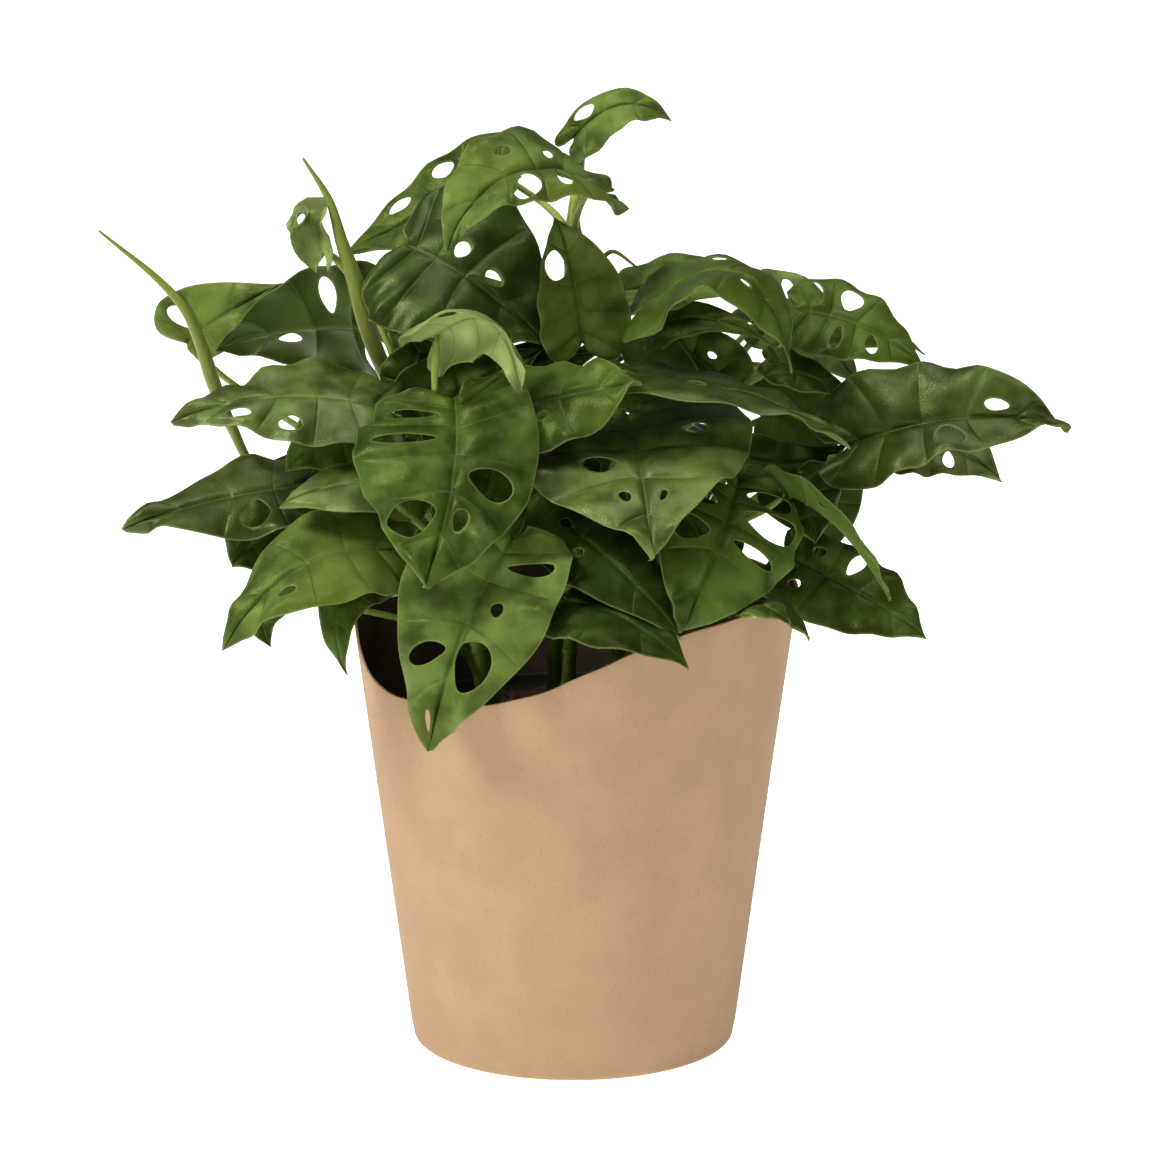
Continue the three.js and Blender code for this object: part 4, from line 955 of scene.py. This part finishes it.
def outline(leaf, u):
    """Half outline at shares u: the Bezier polygon, fuller by the blade's belly, halved between its
    corners until one point is left."""
    corners = np.array(OUTLINE, dtype=float) + leaf["belly"] * np.array(BELLY)
    row = [np.broadcast_to(corner, (len(u), 2)) for corner in corners]
    while len(row) > 1:
        row = [blend_between(a, b, u[:, None]) for a, b in zip(row, row[1:])]
    return row[0]


def blade_points(leaf, side, u, t):
    """Points of a blade's middle surface: u runs from base to tip and t from midrib to margin. Across
    the blade each half is an arc that leaves the midrib at its fold angle and turns by its curl."""
    edge = outline(leaf, u)
    root = u**VEIN_POWER
    x = root + (edge[:, 0] - root) * t**VEIN_SWEEP
    reach = edge[:, 1] * t
    fold = np.radians(np.array(leaf["fold"], dtype=float))[side]
    curl = np.radians(np.array(leaf["curl"], dtype=float))[side]
    curl = np.where(curl == 0, 1e-6, curl)
    out = (np.sin(fold + curl * reach) - np.sin(fold)) / curl
    rise = (np.cos(fold) - np.cos(fold + curl * reach)) / curl
    ripple = leaf["wave"] * t * t * np.sin(2 * np.pi * (WAVES_ALONG * u + 0.37 * side))
    along, _, up, left = midrib(leaf, x)
    way = np.where(side == 1, -1.0, 1.0)
    width = leaf["half_width"] * np.array(leaf["width"], dtype=float)[side]
    return along + left * (way * width * out)[:, None] + up * (width * rise + ripple)[:, None]


ACROSS = np.array([0, 0.06, 0.17, 0.33, 0.5, 0.67, 0.83, 0.94, 1])
OUTWARD = np.array([0, 0.03, 0.075, 0.14, 0.23, 0.34, 0.47, 0.6, 0.73, 0.84, 0.92, 0.97, 1])
INWARD = np.array([0, 0.035, 0.1, 0.22, 0.4, 0.6, 0.8, 0.93, 1])


def plain_field():
    """A field without a hole: a grid of shares across it (p) and out to the margin (t)."""
    p, t = np.meshgrid(ACROSS, OUTWARD, indexing="ij")
    quads = band_faces(len(ACROSS), len(OUTWARD), closed_round=False)[:, [0, 3, 2, 1]]
    return p.ravel(), t.ravel(), np.full(p.size, FAR), quads


def holed_field(middle, across, along):
    """A field with a hole: rings from the field's border in to the edge of an ellipse. Each border
    point is led in to the ellipse's point at the same angle about the field's middle."""
    p = np.concatenate([ACROSS[:-1], np.ones(len(OUTWARD) - 1), ACROSS[:0:-1], np.zeros(len(OUTWARD) - 1)])
    t = np.concatenate([np.zeros(len(ACROSS) - 1), OUTWARD[:-1], np.ones(len(ACROSS) - 1), OUTWARD[:0:-1]])
    angle = np.arctan2(t - 0.5, p - 0.5)
    point = 1 - 0.22 * np.sin(angle) ** 2 * np.abs(np.cos(angle)) ** 0.5
    egg = 1 + 0.16 * np.sin(angle)
    hole_p = 0.5 + 0.92 * along * np.cos(angle) * egg * point
    hole_t = middle + 1.04 * across * np.sin(angle)
    f = INWARD[:, None]
    rings_p = p + (hole_p - p) * f
    rings_t = t + (hole_t - t) * f
    to_hole = np.repeat(1 - f, len(p), axis=1)
    quads = band_faces(len(INWARD), len(p))
    return rings_p.ravel(), rings_t.ravel(), to_hole.ravel(), quads


def blade_sheet(leaf):
    """All fields of a blade as one welded sheet. Gives side, u, t, share p across the field, share of
    the way to a hole's edge, and triangles that face the upper side."""
    parts = []
    start = 0
    for side, word in enumerate(leaf["holes"].split("/")):
        for row, letter in enumerate(word.ljust(leaf["rows"], "-")):
            p, t, to_hole, quads = holed_field(*HOLES[letter]) if letter in HOLES else plain_field()
            faces = quads + start if side else quads[:, ::-1] + start
            parts.append((np.full(len(p), side), (row + p) / leaf["rows"], t, p, to_hole, faces))
            start += len(p)
    side, u, t, p, to_hole, quads = (np.concatenate([part[k] for part in parts]) for k in range(6))
    key = np.stack([side, np.round(u * 1e6), np.round(t * 1e6)], axis=-1).astype(np.int64)
    key[key[:, 2] == 0, 0] = 0
    key[key[:, 1] == 1000000] = (0, 1000000, 0)
    _, first, welded = np.unique(key, axis=0, return_index=True, return_inverse=True)
    quads = welded.reshape(-1)[quads]
    triangles = np.concatenate([quads[:, [0, 1, 2]], quads[:, [0, 2, 3]]])
    a, b, c = triangles.T
    triangles = triangles[(a != b) & (b != c) & (a != c)]
    return side[first], u[first], t[first], p[first], to_hole[first], triangles


def corner_normals(points, triangles):
    """The upward direction at each point: the sum of its triangles' area normals, made unit long."""
    corner = points[triangles]
    area = np.cross(corner[:, 1] - corner[:, 0], corner[:, 2] - corner[:, 0])
    total = np.zeros_like(points)
    for k in range(3):
        np.add.at(total, triangles[:, k], area)
    return unit(total)


def open_edges(triangles):
    """Directed edges that only one triangle has."""
    edges = np.concatenate([triangles[:, [0, 1]], triangles[:, [1, 2]], triangles[:, [2, 0]]])
    low, high = edges.min(axis=1), edges.max(axis=1)
    _, index, count = np.unique(low * (high.max() + 1) + high, return_index=True, return_counts=True)
    return edges[index[count == 1]]


def blade_piece(leaf, s, finishes, seed, solid):
    """One blade: the sheet, swollen between its side veins and slightly uneven, given two faces with a
    midrib and side veins that stand out underneath, and walls round its margin and holes."""
    rng = np.random.default_rng(seed)
    side, u, t, p, to_hole, triangles = blade_sheet(leaf)
    middle = blade_points(leaf, side, u, t)
    step = 1e-3
    inside_u, inside_t = np.clip(u, step, 1 - step), np.clip(t, step, 1 - step)
    along_u = (blade_points(leaf, side, inside_u + step, inside_t)
               - blade_points(leaf, side, inside_u - step, inside_t)) / (2 * step)
    along_t = (blade_points(leaf, side, inside_u, inside_t + step)
               - blade_points(leaf, side, inside_u, inside_t - step)) / (2 * step)
    area = np.linalg.norm(np.cross(along_u, along_t), axis=1)
    across = area / np.maximum(np.linalg.norm(along_t, axis=1), 1e-6)
    vein_mm = np.minimum(p, 1 - p) / leaf["rows"] * across
    width = leaf["half_width"]
    rib_mm = width * outline(leaf, u)[:, 1] * t
    margin_mm = np.linalg.norm(blade_points(leaf, side, u, np.ones_like(t)) - middle, axis=1)
    sinus_mm = u * np.linalg.norm(along_u, axis=1)
    edge_mm = np.minimum(np.minimum(margin_mm, sinus_mm + FAR * (t < 0.15)), to_hole * HOLE_BAND)

    normal = corner_normals(middle, triangles)
    size = np.clip(width / 20, 0.5, 1.3)
    swell = ease(t / 0.14) * ease((1 - t) / 0.18) * np.sin(np.pi * np.clip(p, 0, 1)) ** 0.6
    phase = rng.uniform(0, 2 * np.pi, 4)
    field = u * leaf["rows"]
    swell = swell * (1 + 0.45 * np.sin(1.7 * np.floor(field) + phase[3] + 2 * side))
    uneven = UNEVEN * np.sin(1.6 * field + phase[0]) * np.sin(3.1 * t + phase[1] + side)
    frill = np.sin(7.2 * field + phase[2] + 2 * side) * (0.65 + 0.35 * np.sin(2.3 * field + phase[1]))
    frill = FRILL * frill * ease((t - 0.45) / 0.55) * ease((1 - u) / 0.2)
    lift = size * (s.quilting / MM * swell + uneven * t + frill)
    half = 0.5 * s.thickness / MM * (1 - 0.45 * (1 - ease(edge_mm / 1.2)))
    taper = 1 - 0.75 * u
    ridge = RIB_RIDGE * size * taper * np.exp(-((rib_mm / 0.9) ** 2))
    ridge = ridge + VEIN_RIDGE * (1 - 0.6 * t) * np.exp(-((vein_mm / 0.5) ** 2))
    groove = 0.22 * size * np.exp(-((rib_mm / 0.8) ** 2))
    upper = middle + normal * (lift + half - groove)[:, None]
    lower = middle + normal * (lift - half - ridge)[:, None]
    n = len(middle)
    border = open_edges(triangles)
    walls = np.concatenate([np.stack([border[:, 1], border[:, 0], border[:, 0] + n], -1),
                            np.stack([border[:, 1], border[:, 0] + n, border[:, 1] + n], -1)])
    faces = np.concatenate([triangles, triangles[:, ::-1] + n, walls])
    attributes = {"rib_mm": rib_mm, "vein_mm": vein_mm + 3 * (t > 0.97), "edge_mm": edge_mm,
                  "light": np.full(n, rng.uniform(0, 1))}
    attributes = {key: np.tile(values, 2) for key, values in attributes.items()}
    attributes["under"] = np.repeat([0.0, 1.0], n)
    uv = np.stack([u * leaf["rows"] * across.mean() / leaf["rows"], rib_mm * (1 - 2 * side)], -1)
    put_mesh("blade_" + leaf["name"], np.concatenate([upper, lower]), faces, [finishes[leaf["tone"]]],
             "leaf_" + leaf["name"] if solid else None, "leaf", attributes, np.tile(uv, (2, 1)))


class OBJECT_OT_blades(bpy.types.Operator):
    """Builds the holed blades"""
    bl_idname = "object.monstera_blades"
    bl_label = "Blades"

    def execute(self, context):
        s = context.scene.monstera_blades
        finishes = {tone: blade_skin(s, tone) for tone in BLADE_GLOSS}
        for number, leaf in enumerate(LEAVES + SHADED_BLADES):
            blade_piece(leaf, s, finishes, seed=100 + number, solid=number < len(LEAVES))
        return {"FINISHED"}


# ---------------------------------------------------------------- stems
def stem_path(foot, path, count):
    """The stem's middle line: straight out of the soil, then through its points."""
    root = (*foot, SOIL_TOP - STEM_DEPTH)
    ground = (*foot, SOIL_TOP + 4)
    return smooth_path([root, ground, *path], count)


def stalk_path(leaf, stem, foot):
    """A stalk's middle line: a cubic Bezier curve that leaves the stem upwards, where the stem passes a
    height that is lower the further out the blade is, and comes up under the blade's base."""
    along, heading, up, _ = (row[0] for row in midrib(leaf, 0.0))
    level = along[2] - NODE_DROP - NODE_SLOPE * np.hypot(along[0] - foot[0], along[1] - foot[1])
    share = np.linspace(0, 1, len(stem))
    above = np.flatnonzero((stem[:, 2] > level) & (share >= LOWEST_NODE) & (share <= HIGHEST_NODE))
    start = stem[above[0]] if len(above) else stem[int(HIGHEST_NODE * (len(stem) - 1))]
    outward = unit(along - start)
    arrive = unit(up + 0.6 * outward + 0.2 * heading)
    end = along - up * 0.55 + heading * 1.5
    length = np.linalg.norm(end - start)
    rise = unit(np.array([0, 0, 1.0]) + 0.5 * outward)
    bow = np.array(leaf["bow"], dtype=float)
    first = start + rise * length * 0.35 + bow
    second = end - arrive * length * 0.3 + bow
    count = int(max(14, length / 2.2))
    return evenly(cubic(start, first, second, end, np.linspace(0, 1, 160)), count)


def depth_inside(points):
    """How deep in the plant the points lie, for the painted shade that darkens the stems there: a bell over
    the distance from the Z axis, faded out between heights of 205 and 245 mm."""
    return np.exp(-((points[:, 0] ** 2 + points[:, 1] ** 2) / 55**2)) * ease((245 - points[:, 2]) / 40)


class OBJECT_OT_stems(bpy.types.Operator):
    """Builds the stems, leaf stalks and rolled leaves"""
    bl_idname = "object.monstera_stems"
    bl_label = "Stems"

    def execute(self, context):
        s = context.scene.monstera_stems
        finishes = [stem_skin(s), rolled_skin(s)]
        for name, (foot, path) in VINES.items():
            stem = stem_path(foot, path, 241)
            share = np.linspace(0, 1, len(stem))
            knots = 0.35 * np.exp(-((((share * 7) % 1) - 0.5) / 0.06) ** 2) * (share < 0.96)
            radius = blend_between(STEM_RADIUS, STEM_TIP_RADIUS, share) + knots
            radius[-5:] *= [0.97, 0.9, 0.75, 0.5, 0.2]
            points, faces = bar(stem, radius, 16)
            # Stems darken deep in the plant: painted shade, added to their darkening with growth.
            parts = [(points, faces, {"age": 0.5 + 0.5 * depth_inside(points)})]
            for leaf in (one for one in LEAVES + SHADED_BLADES if one["vine"] == name):
                stalk = stalk_path(leaf, stem, foot)
                q = np.linspace(0, 1, len(stalk))
                joint = 0.22 * np.exp(-((q - 0.93) / 0.05) ** 2)
                thick = leaf["stalk"] * (1.25 - 0.3 * ease(q * 1.4) + joint)
                thick *= 1 + 0.55 * np.exp(-((q / 0.08) ** 2))
                thick[-3:] *= [0.9, 0.65, 0.3]
                points, faces = bar(stalk, thick, s.sides)
                # Stalks darken towards the stem and, as painted shade, deep in the plant.
                age = np.append(np.repeat(0.55 * (1 - q) ** 2 + 0.05, s.sides), [0.6, 0.05])
                parts.append((points, faces, {"age": age + 0.6 * depth_inside(points)}))
            sizes = len(np.concatenate([part[1] for part in parts]))
            for vine, route, thin, swell in ROLLED:
                if vine == name:
                    line = smooth_path(route, 90)
                    q = np.linspace(0, 1, len(line))
                    grow = blend_between(thin, swell, ease((q - 0.4) / 0.25))
                    girth = np.where(q < 0.65, grow, blend_between(swell, 0.35, (q - 0.65) / 0.35))
                    points, faces = bar(line, girth, ROLL_FACETS, ROLL_OVERLAP)
                    age = np.append(np.repeat(ease(q * 2.2 - 1.1) * 0.7, ROLL_FACETS), [0, 0.7])
                    parts.append((points, faces, {"age": age}))
            points, faces, attributes = gathered(parts)
            slots = (np.arange(len(faces)) >= sizes).astype(int)
            put_mesh("stem_" + name, points, faces, finishes, "vine_" + name, "stem", attributes,
                     face_slots=slots)
        return {"FINISHED"}


# ---------------------------------------------------------------- studio
def area_light(name, place, aim, size, power, colour=(1, 1, 1)):
    """A square light at place, turned to aim, all in metres."""
    data = bpy.data.lights.new(name, "AREA")
    data.shape = "SQUARE"
    data.size = size
    data.energy = power
    data.color = colour
    light = bpy.data.objects.new(name, data)
    light.location = place
    light.rotation_euler = (Vector(aim) - Vector(place)).to_track_quat("-Z", "Y").to_euler()
    bpy.context.scene.collection.objects.link(light)


class OBJECT_OT_studio(bpy.types.Operator):
    """Builds the pale floor, the soft lights and the camera"""
    bl_idname = "object.monstera_studio"
    bl_label = "Studio"

    def execute(self, context):
        s = context.scene.monstera_studio
        angle = np.linspace(0, 2 * np.pi, FLOOR_CORNERS, endpoint=False)
        disc = np.stack([FLOOR_RADIUS * np.cos(angle), FLOOR_RADIUS * np.sin(angle), 0 * angle], -1)
        mesh = bpy.data.meshes.new("floor")
        mesh.from_pydata(disc.tolist(), [], [list(range(FLOOR_CORNERS))])
        mesh.materials.append(studio_floor(s))
        floor = bpy.data.objects.new("floor", mesh)
        context.scene.collection.objects.link(floor)
        floor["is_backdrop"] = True
        world = bpy.data.worlds.new("soft_surround")
        world.use_nodes = True
        background = world.node_tree.nodes["Background"]
        background.inputs["Color"].default_value = (1, 1, 1, 1)
        background.inputs["Strength"].default_value = s.sky
        context.scene.world = world
        area_light("key", power=s.key, **KEY_LIGHT)
        area_light("top", power=s.top, **TOP_LIGHT)
        context.scene.view_settings.view_transform = "Standard"
        camera = bpy.data.objects.new("camera", bpy.data.cameras.new("camera"))
        camera.data.sensor_width = SENSOR_WIDTH_MM
        camera.data.lens = s.lens
        camera.location = CAMERA_PLACE
        camera.rotation_euler = (np.radians(90 - CAMERA_TILT), 0, 0)
        context.scene.collection.objects.link(camera)
        context.scene.camera = camera
        return {"FINISHED"}


# ---------------------------------------------------------------- add-on
class VIEW3D_PT_monstera(bpy.types.Panel):
    """Buttons and settings of the potted monstera"""
    bl_label = "Potted Monstera"
    bl_idname = "VIEW3D_PT_monstera"
    bl_space_type = "VIEW_3D"
    bl_region_type = "UI"
    bl_category = "Monstera"

    def draw(self, context):
        for group, _, operators in GROUPS:
            box = self.layout.box()
            settings = getattr(context.scene, group)
            for key in settings.bl_rna.properties.keys():
                if key not in ("rna_type", "name"):
                    box.prop(settings, key)
            for operator in operators:
                box.operator(operator.bl_idname)


GROUPS = [
    ("monstera_studio", StudioSettings, [OBJECT_OT_studio]),
    ("monstera_sleeve", SleeveSettings, [OBJECT_OT_kraft_sleeve]),
    ("monstera_pot", PotSettings, [OBJECT_OT_nursery_pot, OBJECT_OT_potting_soil]),
    ("monstera_stems", StemSettings, [OBJECT_OT_stems]),
    ("monstera_blades", BladeSettings, [OBJECT_OT_blades]),
]


def register():
    for group, settings, operators in GROUPS:
        bpy.utils.register_class(settings)
        setattr(bpy.types.Scene, group, bpy.props.PointerProperty(type=settings))
        for operator in operators:
            bpy.utils.register_class(operator)
    bpy.utils.register_class(VIEW3D_PT_monstera)


def unregister():
    bpy.utils.unregister_class(VIEW3D_PT_monstera)
    for group, settings, operators in reversed(GROUPS):
        for operator in operators:
            bpy.utils.unregister_class(operator)
        delattr(bpy.types.Scene, group)
        bpy.utils.unregister_class(settings)


def main():
    """Builds the object, stage first, and takes the CAD box and the finished object's box."""
    register()
    bpy.ops.object.monstera_studio()
    bpy.ops.object.monstera_kraft_sleeve()
    bpy.ops.object.monstera_nursery_pot()
    bpy.ops.object.monstera_potting_soil()
    bpy.ops.object.monstera_stems()
    bpy.ops.object.monstera_blades()
    boxes = {"cad": CAD_BOX, "visual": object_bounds()}


if __name__ == "__main__":
    main()
